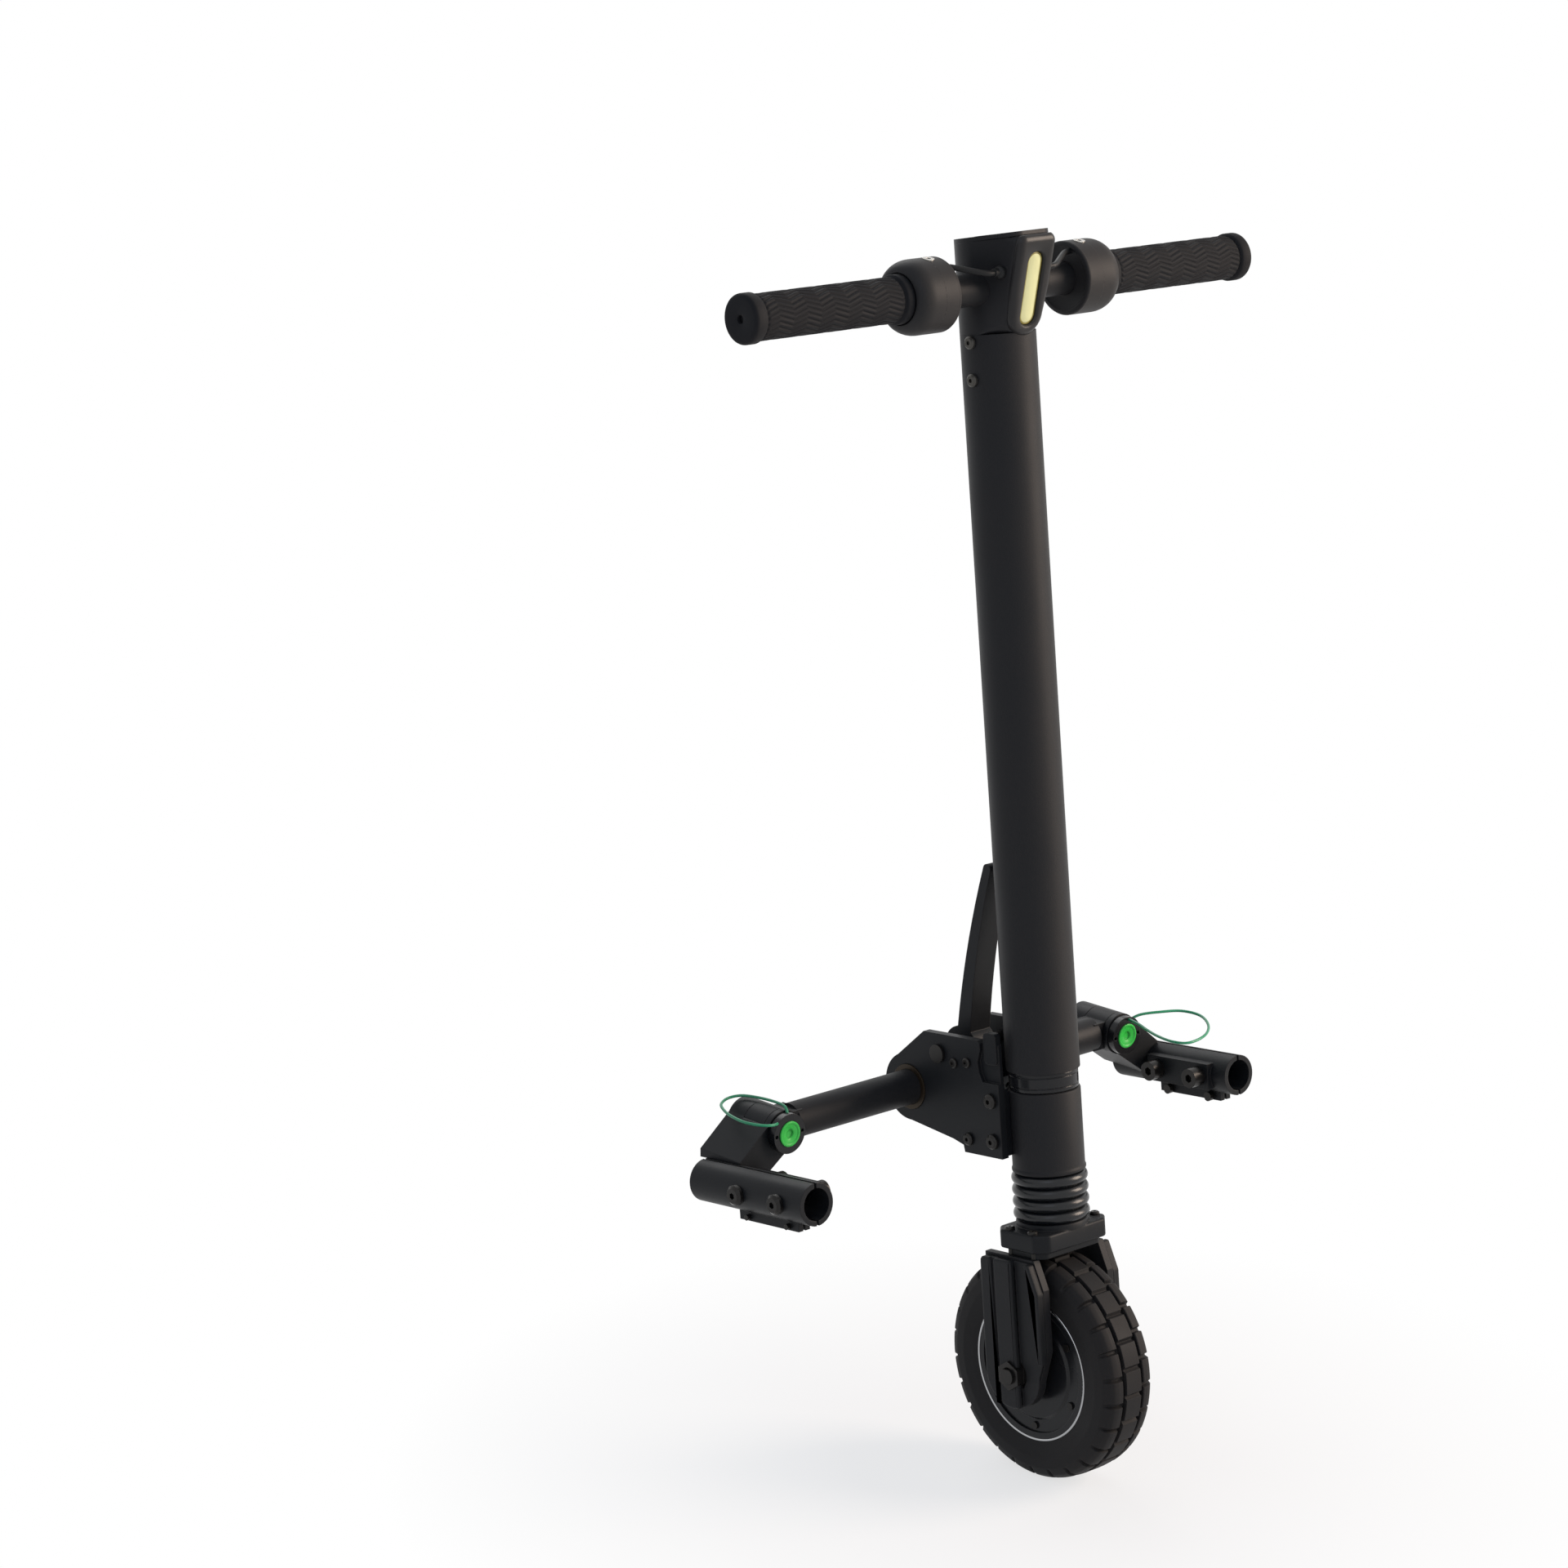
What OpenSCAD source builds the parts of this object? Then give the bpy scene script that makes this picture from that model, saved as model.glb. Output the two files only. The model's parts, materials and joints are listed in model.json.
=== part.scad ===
// Front-wheel power assist for a manual wheelchair.
// One hub-motor wheel steers under a battery column with a handlebar; a crossbar and two rail clamps
// carry it on the chair. Front faces -Y, the rider's left is +X, the floor is Z = 0.

/* [Wheel and hub motor] */
// Outer radius of the tyre
wheel_r = 80; // [76:1:90]
// Width of the tyre
tyre_w = 45; // [40:1:50]
// Depth of the tread blocks
tread_depth = 3.5; // [2:0.5:4.5]
// Tread blocks in one row round the tyre
tread_count = 26; // [16:1:32]
// Radius at which the tyre sits on the hub shell
rim_r = 52; // [50:1:56]
// Width of the hub shell
hub_w = 40; // [38:1:42]
// Wall of the hub shell outside the magnets
shell_wall = 6; // [5:0.5:7]
// Thickness of a hub side cover
cover_t = 4; // [3:0.5:5]
// Thickness of the rotor magnets
magnet_t = 2.5; // [2:0.5:3]
// Number of rotor magnets
magnet_count = 20; // [14:2:20]
// Gap between the magnets and the stator
air_gap = 0.8; // [0.5:0.1:1.2]
// Number of stator teeth
tooth_count = 12; // [9:3:12]
// Diameter of the wheel axle
axle_d = 12; // [10:1:13]
// Outer diameter of a hub bearing
hub_bearing_d = 28; // [26:1:32]
// Width of a hub bearing
hub_bearing_w = 8; // [7:0.5:9]

/* [Fork and suspension] */
// Lean of the steering axis, top towards the rider
rake = 6; // [3:0.5:9]
// Distance of the axle behind the steering axis
axle_setback = 10; // [4:1:14]
// Gap between the tyre and a fork leg
leg_gap = 6; // [4:0.5:9]
// Thickness of a fork leg plate
leg_t = 5.5; // [4:0.5:8]
// Width of a fork leg, front to back
leg_w = 55; // [50:1:60]
// Reach of a fork leg behind the steering axis
leg_back = 33; // [31:1:36]
// Thickness of the moulded cover on a fork leg
leg_cover_t = 6; // [4:0.5:8]
// Gap between the tyre and the fork crown
crown_gap = 4; // [3:0.5:8]
// Height of the fork crown block
crown_h = 18; // [15:1:22]
// Diameter of the slider tube
slider_d = 30; // [28:0.5:32]
// Wall of the slider tube
slider_wall = 3; // [2:0.5:4]
// Travel of the suspension
travel = 22; // [10:1:22]
// Height of the rubber bellows
bellows_h = 34; // [33:1:40]
// Largest diameter of the bellows
bellows_d = 54; // [50:1:58]
// Number of bellows ribs
rib_count = 4; // [3:1:5]
// Depth of a bellows rib
rib_depth = 4; // [2:0.5:5]
// Wall of the bellows
bellows_wall = 1.6; // [1:0.2:2]
// Wire diameter of the suspension spring
spring_wire = 3; // [2:0.5:3]
// Coils in the suspension spring
spring_turns = 9; // [6:1:10]

/* [Steering column] */
// Outer diameter of the fixed head tube
head_tube_d = 50; // [49:0.5:52]
// Length of the head tube
head_tube_l = 58; // [52:1:64]
// Outer diameter of the steerer tube
steerer_d = 35; // [34.5:0.5:36]
// Outer diameter of a steering bearing
steer_bearing_d = 44; // [43:0.5:45]
// Width of a steering bearing
steer_bearing_w = 7; // [5:0.5:9]
// Diameter of the polished collar ring
collar_d = 48; // [46:0.5:50]
// Height of the collar ring
collar_h = 13.5; // [8:0.5:16]
// Outer diameter of the battery column
column_d = 51; // [50:0.5:54]
// Wall of the battery column
column_wall = 2.5; // [2:0.25:3]
// Length of the battery column
column_l = 503.5; // [430:0.5:560]
// Diameter of a battery cell
cell_d = 18.4; // [18:0.1:18.8]
// Length of a battery cell
cell_l = 65; // [60:1:65]
// Thickness of a cell spacer
spacer_t = 3; // [2:0.5:4]

/* [Head] */
// Height of the head above the column, at its rear
head_h = 64; // [60:1:80]
// Rise of the head's top towards the front
top_slope = 4.5; // [2:0.5:8]
// Reach of the head ahead of the steering axis, at the middle of the bezel
head_reach = 36; // [34:1:42]
// Lean of the lamp bezel
bezel_lean = 16.5; // [10:0.5:20]
// Width of the lamp bezel
bezel_w = 34; // [30:1:40]
// Length of the lamp bezel
bezel_l = 70; // [66:1:76]
// Thickness of the lamp bezel
bezel_t = 5; // [4:0.5:6]
// Width of the lamp lens
lens_w = 14; // [10:0.5:16]
// Length of the lamp lens
lens_l = 50; // [40:1:56]
// Wall of the head housing
head_wall = 2.5; // [2:0.25:3]
// Thickness of the dash lid
lid_t = 3; // [2.5:0.5:4]
// Diameter of the power button
button_d = 12; // [10:0.5:14]
// Travel of the power button
button_travel = 1; // [0.5:0.1:1.2]

/* [Handlebar] */
// Width over the grip ends
bar_w = 460; // [420:2:520]
// Diameter of the handlebar
bar_d = 22.2; // [22:0.1:25]
// Wall of the handlebar
bar_wall = 2; // [1.5:0.25:3]
// Height of the handlebar above the column's top
bar_rise = 30; // [28:1:34]
// Distance of the handlebar ahead of the steering axis
bar_lead = 5; // [3:1:8]
// Length of a grip
grip_l = 139; // [120:1:144]
// Diameter of a grip
grip_d = 29; // [28:0.5:34]
// Diameter of a grip's flanges
grip_flange_d = 33; // [32:0.5:38]
// Outer diameter of a control housing
control_d = 50; // [48:1:56]
// Length of a control housing
control_l = 34; // [30:1:38]
// Depth of the dish that a control housing has for the grip's end
control_dish = 3; // [2:0.5:5]
// Swing of a thumb paddle
paddle_swing = 25; // [15:1:30]

/* [Tilt bracket] */
// Thickness of a side plate
plate_t = 6; // [4:0.5:8]
// Gap between the tube and a side plate
plate_gap = 2; // [1.5:0.5:4]
// Radius of a side plate's boss round the crossbar
boss_r = 24; // [22:1:26]
// Radius of the lock drum on the crossbar
drum_r = 23; // [21:0.5:23]
// Width of the lock lever
lever_w = 19; // [15:1:23]
// Diameter of the lock lever's pin
lever_pin_d = 8; // [6:0.5:9]

/* [Chair mount] */
// Horizontal distance from the axle to the crossbar
dock_to_axle = 109.5; // [108:0.5:116]
// Height of the crossbar above the floor
dock_z = 261; // [258:1:264]
// Diameter of the crossbar
crossbar_d = 25; // [24:0.5:26]
// Wall of the crossbar
crossbar_wall = 3; // [2:0.5:4]
// Distance of a quick-release pin from the centre
pin_x = 164; // [160:1:168]
// Diameter of a quick-release pin
pin_d = 12; // [10:0.5:13]
// Diameter of a quick-release pin's head
pin_head_d = 28; // [26:0.5:29]
// Diameter of a pin's push button
pin_button_d = 18; // [15:0.5:19]
// Travel of a pin's push button
pin_button_travel = 2.5; // [1:0.5:3]
// Outer diameter of the barrel round a pin
barrel_d = 30; // [28:0.5:32]
// Length of the barrel ahead of the crossbar's axis
barrel_front = 14; // [14:0.5:16]
// Length of the barrel behind the crossbar's axis
barrel_back = 27; // [26:0.5:30]
// Distance of a chair rail from the centre
rail_x = 205; // [203:0.5:208]
// Radius of a chair rail
rail_r = 11.1; // [10.5:0.05:11.5]
// Wall of a rail clamp
sleeve_wall = 3.5; // [3:0.5:5]
// Height of the chair rail below the crossbar
rail_drop = 31; // [30:0.5:33]
// Rise of the chair rail towards the front
rail_tilt = 6; // [0:0.5:8]
// Length of the clamp jaws ahead of the crossbar's axis
jaw_front = 93; // [90:1:98]
// Length of the clamp jaws behind the crossbar's axis
jaw_back = 19; // [16:1:24]
// Diameter of a clamp bolt
bolt_d = 8; // [7:0.5:8]
// Distance between the two bolts of a clamp
bolt_pitch = 40; // [36:1:44]

/* [Hidden] */
$fn = 96;
small_fn = 32;
RIGHT = -1;
LEFT = 1;
SIDES = [RIGHT, LEFT];
BLACK = "#1d1c1b";
SATIN = "#26282a";
STEEL = "#b9bcc0";
GREEN = "#35b54a";

// Clearances
press = 0.02;
run = 0.08;
clear = 0.4;
eps = 0.01;

// Places
total_y = wheel_r + dock_to_axle + barrel_back;
axle_y = wheel_r - total_y/2;
dock_y = axle_y + dock_to_axle;

// The crossbar in the frame of the steering axis
dock_local_y = axle_setback + dock_to_axle*cos(rake) - (dock_z - wheel_r)*sin(rake);
dock_local_s = dock_to_axle*sin(rake) + (dock_z - wheel_r)*cos(rake);

// Heights along the steering axis, from the axle up
crown_s = wheel_r + crown_gap;
crown_ring_h = 4;
waist_h = 5;
crown_top = crown_s + crown_h;
slider_s = crown_s + waist_h - 1;
bellows_s = crown_top + crown_ring_h;
head_tube_s = bellows_s + bellows_h;
collar_s = head_tube_s + head_tube_l;
column_s = collar_s + collar_h + clear;
column_top = column_s + column_l;
bar_s = column_top + bar_rise;
steerer_cup = 12;
base_h = 25;
stem_plug = 40;
stem_s = column_top - stem_plug;
board_l = 26;
battery_s = column_s + base_h;
layer_h = cell_l + spacer_t;
battery_room = stem_s - battery_s - spacer_t - board_l - 1;
cell_layers = max(1, floor(battery_room/layer_h));
battery_top = battery_s + cell_layers*layer_h + spacer_t;

// Widths
leg_x = tyre_w/2 + leg_gap;
leg_out = leg_x + leg_t;
crown_bolt_x = leg_x + 1.75;
crown_bolt_d = 4;
cuff_d = bellows_d - 2*rib_depth - 2;
cuff_h = 2;
column_bore_r = column_d/2 - column_wall;
plate_x = max(head_tube_d, column_d)/2 + plate_gap;
plate_out = plate_x + plate_t;

// Hub motor radii
shell_bore_r = rim_r - shell_wall;
magnet_in_r = shell_bore_r - 0.5 - magnet_t;
stator_r = magnet_in_r - air_gap;
stator_core_r = 24;
stator_half = 7;
winding_t = 3;
magnet_half = stator_half + winding_t;
cover_in = hub_w/2 - cover_t;
cover_step = 1.5;
axle_end = leg_out + 10;

module at_axis() {
    translate([0, axle_y, wheel_r]) rotate([-rake, 0, 0]) translate([0, -axle_setback, 0]) children();
}

module at_axle() {
    translate([0, axle_y, wheel_r]) rotate([-rake, 0, 0]) rotate([0, 90, 0]) children();
}

module at_dock() {
    translate([0, dock_y, dock_z]) children();
}

module at_bar() {
    at_axis() translate([0, -bar_lead, bar_s]) children();
}

module at_bezel() {
    at_axis() translate([0, -head_reach, bezel_mid_s]) rotate([90 + bezel_lean, 0, 0]) children();
}

module on_side(side) {
    mirror([side < 0 ? 1 : 0, 0, 0]) children();
}

module along_x(from, to) {
    translate([from, 0, 0]) rotate([90, 0, 90]) linear_extrude(to - from) children();
}

module rod_x(d, from, to) {
    translate([from, 0, 0]) rotate([0, 90, 0]) cylinder(d = d, h = to - from);
}

module rod_y(d, from, to) {
    translate([0, to, 0]) rotate([90, 0, 0]) cylinder(d = d, h = to - from);
}

module ring(outer_d, inner_d, h) {
    difference() {
        cylinder(d = outer_d, h = h);
        translate([0, 0, -1]) cylinder(d = inner_d, h = h + 2);
    }
}

module pill(w, l) {
    for (end = [-1, 1]) translate([0, end*(l - w)/2]) circle(d = w);
    square([w, l - w], center = true);
}

module rounded_rect(w, l, r) {
    for (x = [-1, 1]) for (y = [-1, 1]) translate([x*(w/2 - r), y*(l/2 - r)]) circle(r, $fn = small_fn);
    square([w - 2*r, l], center = true);
    square([w, l - 2*r], center = true);
}

// Button-head screw along +Z with its head's seat at the origin; the shank runs down
module button_screw(d, l) {
    head_d = 1.75*d;
    head_t = 0.55*d;
    difference() {
        union() {
            cylinder(d = head_d, h = 0.6*head_t, $fn = small_fn);
            translate([0, 0, 0.6*head_t])
                cylinder(d1 = head_d, d2 = 0.72*head_d, h = 0.4*head_t, $fn = small_fn);
            translate([0, 0, -l]) cylinder(d = d, h = l + eps, $fn = small_fn);
        }
        translate([0, 0, 0.4*head_t]) cylinder(d = 0.6*d, h = head_t, $fn = 6);
    }
}

// Smooth tube along a route of points
function unit(v) = v/norm(v);
function spline(a, b, c, d, t) =
    0.5*(2*b + (c - a)*t + (2*a - 5*b + 4*c - d)*t*t + (3*b - a - 3*c + d)*t*t*t);
function smooth_route(p, steps) = concat(
    [for (i = [0:len(p) - 2]) for (j = [0:steps - 1])
        spline(p[max(i - 1, 0)], p[i], p[i + 1], p[min(i + 2, len(p) - 1)], j/steps)],
    [p[len(p) - 1]]);
function heading(p, i) = unit(p[min(i + 1, len(p) - 1)] - p[max(i - 1, 0)]);
function tube_ring(p, i, r, sides, up) =
    let (t = heading(p, i), a = unit(cross(t, up)), b = cross(a, t))
    [for (k = [0:sides - 1]) p[i] + r*(cos(360*k/sides)*a + sin(360*k/sides)*b)];

module tube(p, d, sides, up) {
    count = len(p);
    first = count*sides;
    points = concat([for (i = [0:count - 1]) each tube_ring(p, i, d/2, sides, up)], [p[0], p[count - 1]]);
    walls = [for (i = [0:count - 2]) for (k = [0:sides - 1])
        let (a = i*sides + k, b = i*sides + (k + 1) % sides)
        each [[a, b, a + sides], [b, b + sides, a + sides]]];
    caps = [for (k = [0:sides - 1])
        let (n = (k + 1) % sides, top = (count - 1)*sides)
        each [[first, n, k], [first + 1, top + k, top + n]]];
    polyhedron(points, concat(walls, caps));
}

// Wheel: the tyre, the turning half of the hub motor and its bearings

rib_half = tyre_w/6;
groove_w = 2.5;
groove_r = wheel_r - tread_depth;

module tyre_section() {
    half = tyre_w/2;
    side_r = wheel_r - 0.8;
    groove_out = rib_half + groove_w;
    polygon([
        [rim_r, -hub_w/2], [rim_r + 4, 1.5 - half], [rim_r + 12, -half], [wheel_r - 8, 0.5 - half],
        [wheel_r - 2, 5 - half], [side_r, -groove_out], [groove_r, -groove_out], [groove_r, -rib_half],
        [wheel_r, -rib_half], [wheel_r, rib_half], [groove_r, rib_half], [groove_r, groove_out],
        [side_r, groove_out], [wheel_r - 2, half - 5], [wheel_r - 8, half - 0.5], [rim_r + 12, half],
        [rim_r + 4, half - 1.5], [rim_r, hub_w/2]
    ]);
}

// Notches across each shoulder, a little shallower than the grooves that they open into
module tyre() {
    notch_w = 3.5;
    notch_from = rib_half + groove_w/2;
    color(BLACK) at_axle() difference() {
        rotate_extrude($fn = 128) tyre_section();
        for (i = [0:tread_count - 1]) for (side = SIDES)
            rotate((i + side/4)*360/tread_count) mirror([0, 0, side < 0 ? 1 : 0])
                translate([groove_r + 0.6, -notch_w/2, notch_from]) cube([wheel_r, notch_w, tyre_w]);
    }
}

module hub_shell() {
    step = magnet_half + 1.5;
    color(SATIN) at_axle() rotate_extrude() polygon([
        [rim_r - press, -hub_w/2], [rim_r - press, hub_w/2], [shell_bore_r, hub_w/2],
        [shell_bore_r, cover_in], [shell_bore_r - 7, cover_in], [shell_bore_r - 7, step],
        [shell_bore_r, step],
        [shell_bore_r, -step], [shell_bore_r - 7, -step], [shell_bore_r - 7, -cover_in],
        [shell_bore_r, -cover_in], [shell_bore_r, -hub_w/2]
    ]);
}

module hub_covers() {
    seat_r = hub_bearing_d/2 + press;
    bearing_out = hub_w/2 - 1;
    bearing_in = bearing_out - hub_bearing_w;
    rim = shell_bore_r - press;
    lip_r = axle_d/2 + 4;
    color(SATIN) for (side = SIDES) on_side(side) at_axle() rotate_extrude() polygon([
        [lip_r, hub_w/2], [lip_r, bearing_out], [seat_r, bearing_out], [seat_r, bearing_in],
        [seat_r + 3, bearing_in], [seat_r + 3, cover_in], [rim, cover_in], [rim, hub_w/2 - cover_step],
        [rim - 9, hub_w/2 - cover_step], [rim - 11, hub_w/2]
    ]);
}

module hub_cover_screws() {
    count = 6;
    screw_d = 3;
    color(STEEL) for (side = SIDES) on_side(side) at_axle() for (i = [0:count - 1])
        rotate(i*360/count) translate([shell_bore_r - 4.5, 0, hub_w/2 - cover_step])
            cylinder(d = 1.8*screw_d, h = cover_step - 0.1, $fn = small_fn);
}

module rotor_magnets() {
    width = 0.82*2*PI*magnet_in_r/magnet_count;
    corner_r = sqrt(pow(shell_bore_r - 0.1, 2) - pow(width/2, 2));
    color(STEEL) at_axle() for (i = [0:magnet_count - 1]) rotate(i*360/magnet_count)
        translate([corner_r - magnet_t, -width/2, -magnet_half]) cube([magnet_t, width, 2*magnet_half]);
}

module hub_bearings() {
    color(STEEL) for (side = SIDES) on_side(side) at_axle()
        translate([0, 0, hub_w/2 - 1 - hub_bearing_w]) ring(hub_bearing_d, axle_d + 2*run, hub_bearing_w);
}

// Fork: what carries the axle and slides in the steerer

module axle() {
    flat = axle_d - 2;
    color(STEEL) at_axle() difference() {
        cylinder(d = axle_d, h = 2*axle_end, center = true);
        for (end = [-1, 1]) for (cut = [-1, 1])
            translate([cut*(flat + axle_d)/2, 0, end*(axle_end - 4)])
                cube([axle_d, 2*axle_d, 8 + eps], center = true);
    }
}

module axle_spacers() {
    from = hub_w/2 - 1;
    color(STEEL) for (side = SIDES) on_side(side) at_axle()
        translate([0, 0, from]) ring(axle_d + 6, axle_d + 2*press, leg_x - from);
}

module axle_nuts() {
    nut_d = 1.75*axle_d;
    washer_t = 1.6;
    color(STEEL) for (side = SIDES) on_side(side) at_axle() {
        translate([0, 0, leg_out]) ring(2*axle_d, axle_d + 2*press, washer_t);
        difference() {
            translate([0, 0, leg_out + washer_t]) cylinder(d = nut_d, h = 6.4, $fn = 6);
            cylinder(d = axle_d + 2*press, h = axle_end);
        }
    }
}

module stator() {
    slot_w = 0.42*2*PI*stator_r/tooth_count;
    color("#8a8f94") at_axle() linear_extrude(2*stator_half, center = true) difference() {
        circle(stator_r);
        circle(axle_d/2 + press);
        for (i = [0:tooth_count - 1]) rotate((i + 0.5)*360/tooth_count)
            translate([stator_core_r, -slot_w/2]) square([stator_r, slot_w]);
    }
}

module stator_windings() {
    slot_w = 0.42*2*PI*stator_r/tooth_count;
    tooth_out = stator_r - 4;
    tooth_half = stator_core_r*sin(180/tooth_count) - slot_w/2*cos(180/tooth_count);
    pack_w = slot_w*0.42;
    color("#a8622d") at_axle() for (i = [0:tooth_count - 1]) rotate(i*360/tooth_count)
        for (face = [-1, 1])
            translate([(stator_core_r + tooth_out)/2, 0, face*(stator_half + winding_t/2)])
                cube([tooth_out - stator_core_r - 2, 2*tooth_half + pack_w, winding_t], center = true);
}

// Outline of a fork leg, across the steering axis and along it
module leg_outline(top) {
    front = leg_back - leg_w;
    end_r = 24;
    cut_y = 8;
    cut_s = 20;
    polygon([
        [front + cut_y, top], [leg_back, top], [axle_setback + end_r, 0], [axle_setback - end_r, -2],
        [front, 20], [front, top - cut_s]
    ]);
    translate([axle_setback, 0]) circle(end_r);
}

module fork_legs() {
    color(BLACK) for (side = SIDES) on_side(side) at_axis() difference() {
        along_x(leg_x, leg_out) leg_outline(crown_s);
        translate([0, axle_setback, 0]) rod_x(axle_d + 2*press, 0, 2*leg_out);
    }
}

// Moulded leg cover: a thin sheet with a raised back panel and a wall along the front
module leg_covers() {
    front = leg_back - leg_w;
    top = crown_s - 2;
    sheet_t = 1.5;
    panel_w = 30;
    seam_w = 2;
    seam_from_back = 12.5;
    seam_s = 22;
    wall_w = 4.5;
    nut_room = axle_d + 4;
    color(BLACK) for (side = SIDES) on_side(side) at_axis() difference() {
        union() {
            along_x(leg_out, leg_out + sheet_t) leg_outline(top);
            along_x(leg_out, leg_out + leg_cover_t) intersection() {
                leg_outline(top);
                translate([leg_back - panel_w, -leg_w]) square([panel_w, leg_w + top]);
            }
            along_x(leg_out, leg_out + leg_cover_t) difference() {
                leg_outline(top);
                translate([wall_w, 0]) leg_outline(top + wall_w);
                translate([front, -leg_w]) square([leg_w, leg_w + 10]);
            }
        }
        translate([leg_out + leg_cover_t - 2, leg_back - seam_from_back, seam_s])
            cube([leg_cover_t, seam_w, top]);
        translate([0, axle_setback, 0]) rod_x(2*nut_room, 0, 3*leg_out);
    }
}

// Stepped crown: a waisted block, a ring and the spigot that the bellows grips
module crown_plan(half_w, half_l, cut) {
    polygon([
        [-half_w, half_l - cut], [-half_w + cut, half_l], [half_w - cut, half_l], [half_w, half_l - cut],
        [half_w, cut - half_l], [half_w - cut, -half_l], [cut - half_w, -half_l], [-half_w, cut - half_l]
    ]);
}

module fork_crown() {
    half_l = leg_w/2 - 3.5;
    half_w = leg_out + 1;
    color(BLACK) at_axis() difference() {
        union() {
            translate([0, 0, crown_s]) linear_extrude(waist_h) crown_plan(half_w - 4, half_l - 5, 6);
            translate([0, 0, crown_s + waist_h]) linear_extrude(crown_h - waist_h)
                crown_plan(half_w, half_l, 8);
            translate([0, 0, crown_top - eps]) cylinder(d = head_tube_d, h = crown_ring_h + eps);
            translate([0, 0, bellows_s - eps]) cylinder(d = cuff_d, h = cuff_h + eps);
        }
        translate([0, 0, slider_s]) cylinder(d = slider_d + 2*press, h = crown_h*2);
        for (side = SIDES) for (y = [-1, 1])
            translate([side*crown_bolt_x, y*leg_w/5, crown_s - 1])
                cylinder(d = crown_bolt_d + 2*press, h = crown_h*2, $fn = small_fn);
    }
}

module fork_bolts() {
    color(STEEL) at_axis() for (side = SIDES) for (y = [-1, 1])
        translate([side*crown_bolt_x, y*leg_w/5, crown_top]) button_screw(crown_bolt_d, crown_h);
}

module slider_tube() {
    color(STEEL) at_axis() translate([0, 0, slider_s])
        ring(slider_d, slider_d - 2*slider_wall, collar_s - 13 - slider_s);
}

// Steering: everything that turns with the handlebar

module steerer_tube() {
    flange_s = head_tube_s - cuff_h - clear;
    color(STEEL) at_axis() difference() {
        union() {
            translate([0, 0, flange_s]) cylinder(d = cuff_d, h = cuff_h);
            translate([0, 0, flange_s]) cylinder(d = steerer_d, h = column_s + steerer_cup - flange_s);
        }
        translate([0, 0, flange_s - 1]) cylinder(d = slider_d + 2*run, h = head_tube_l*3);
    }
}

module collar_ring() {
    color(SATIN) at_axis() translate([0, 0, collar_s + clear]) ring(collar_d, steerer_d + 2*press, collar_h);
}

// Bellows wall: ribs by a cosine, with a cuff at each end
module bellows() {
    steps = 10;
    top = bellows_h - clear;
    rib_l = (top - 2*cuff_h)/rib_count;
    seat_r = cuff_d/2 + press;
    valley_r = bellows_d/2 - rib_depth;
    outer = [for (i = [0:rib_count*steps])
        [valley_r + rib_depth/2*(1 - cos(360*i/steps)), cuff_h + i*rib_l/steps]];
    inner = [for (i = [rib_count*steps:-1:0]) [outer[i][0] - bellows_wall, outer[i][1]]];
    color(BLACK) at_axis() translate([0, 0, bellows_s]) rotate_extrude() polygon(concat(
        [[seat_r, 0], [valley_r, 0]], outer, [[valley_r, top], [seat_r, top], [seat_r, top - cuff_h]], inner,
        [[seat_r, cuff_h]]));
}

module suspension_spring() {
    from = slider_s + spring_wire/2 + 0.1;
    to = column_s + steerer_cup - spring_wire/2 - 0.1;
    coil_r = slider_d/2 - slider_wall - spring_wire/2 - clear;
    steps = 8;
    route = [for (i = [0:spring_turns*steps])
        [coil_r*cos(360*i/steps), coil_r*sin(360*i/steps), from + (to - from)*i/(spring_turns*steps)]];
    color(STEEL) at_axis() tube(route, spring_wire, 6, [0, 0, 1]);
}

module column_base() {
    color(STEEL) at_axis() translate([0, 0, column_s]) difference() {
        cylinder(r = column_bore_r - press, h = base_h);
        translate([0, 0, -1]) cylinder(d = steerer_d + 2*press, h = steerer_cup + 1);
        translate([0, 0, steerer_cup - 1]) cylinder(d = 10, h = base_h);
    }
}

module column_tube() {
    screw_d = 5;
    color(BLACK) at_axis() difference() {
        translate([0, 0, column_s]) ring(column_d, 2*column_bore_r, column_l);
        for (s = [5, 30]) translate([0, 0, column_top - s]) rod_x(screw_d + 2*press, -column_d, column_d);
    }
}

cell_circle_r = (cell_d + 0.3)/sqrt(3);

module battery_cells() {
    color(GREEN) at_axis() for (layer = [0:cell_layers - 1]) for (i = [0:2])
        rotate(i*120) translate([cell_circle_r, 0, battery_s + spacer_t + layer*layer_h])
            cylinder(d = cell_d, h = cell_l);
}

module battery_spacers() {
    color("#d8d4c8") at_axis() for (layer = [0:cell_layers])
        translate([0, 0, battery_s + layer*layer_h]) cylinder(r = column_bore_r - run, h = spacer_t);
}

module controller_board() {
    board_t = 1.6;
    board_w = 2*column_bore_r - 10;
    color("#1f5a3c") at_axis() translate([0, 0, battery_top]) {
        translate([-board_w/2, -board_t/2, 0]) cube([board_w, board_t, board_l]);
        for (i = [0:2]) translate([-board_w/2 + 4 + i*10, board_t/2 - eps, 3]) cube([7, 5, 12]);
    }
}

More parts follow.
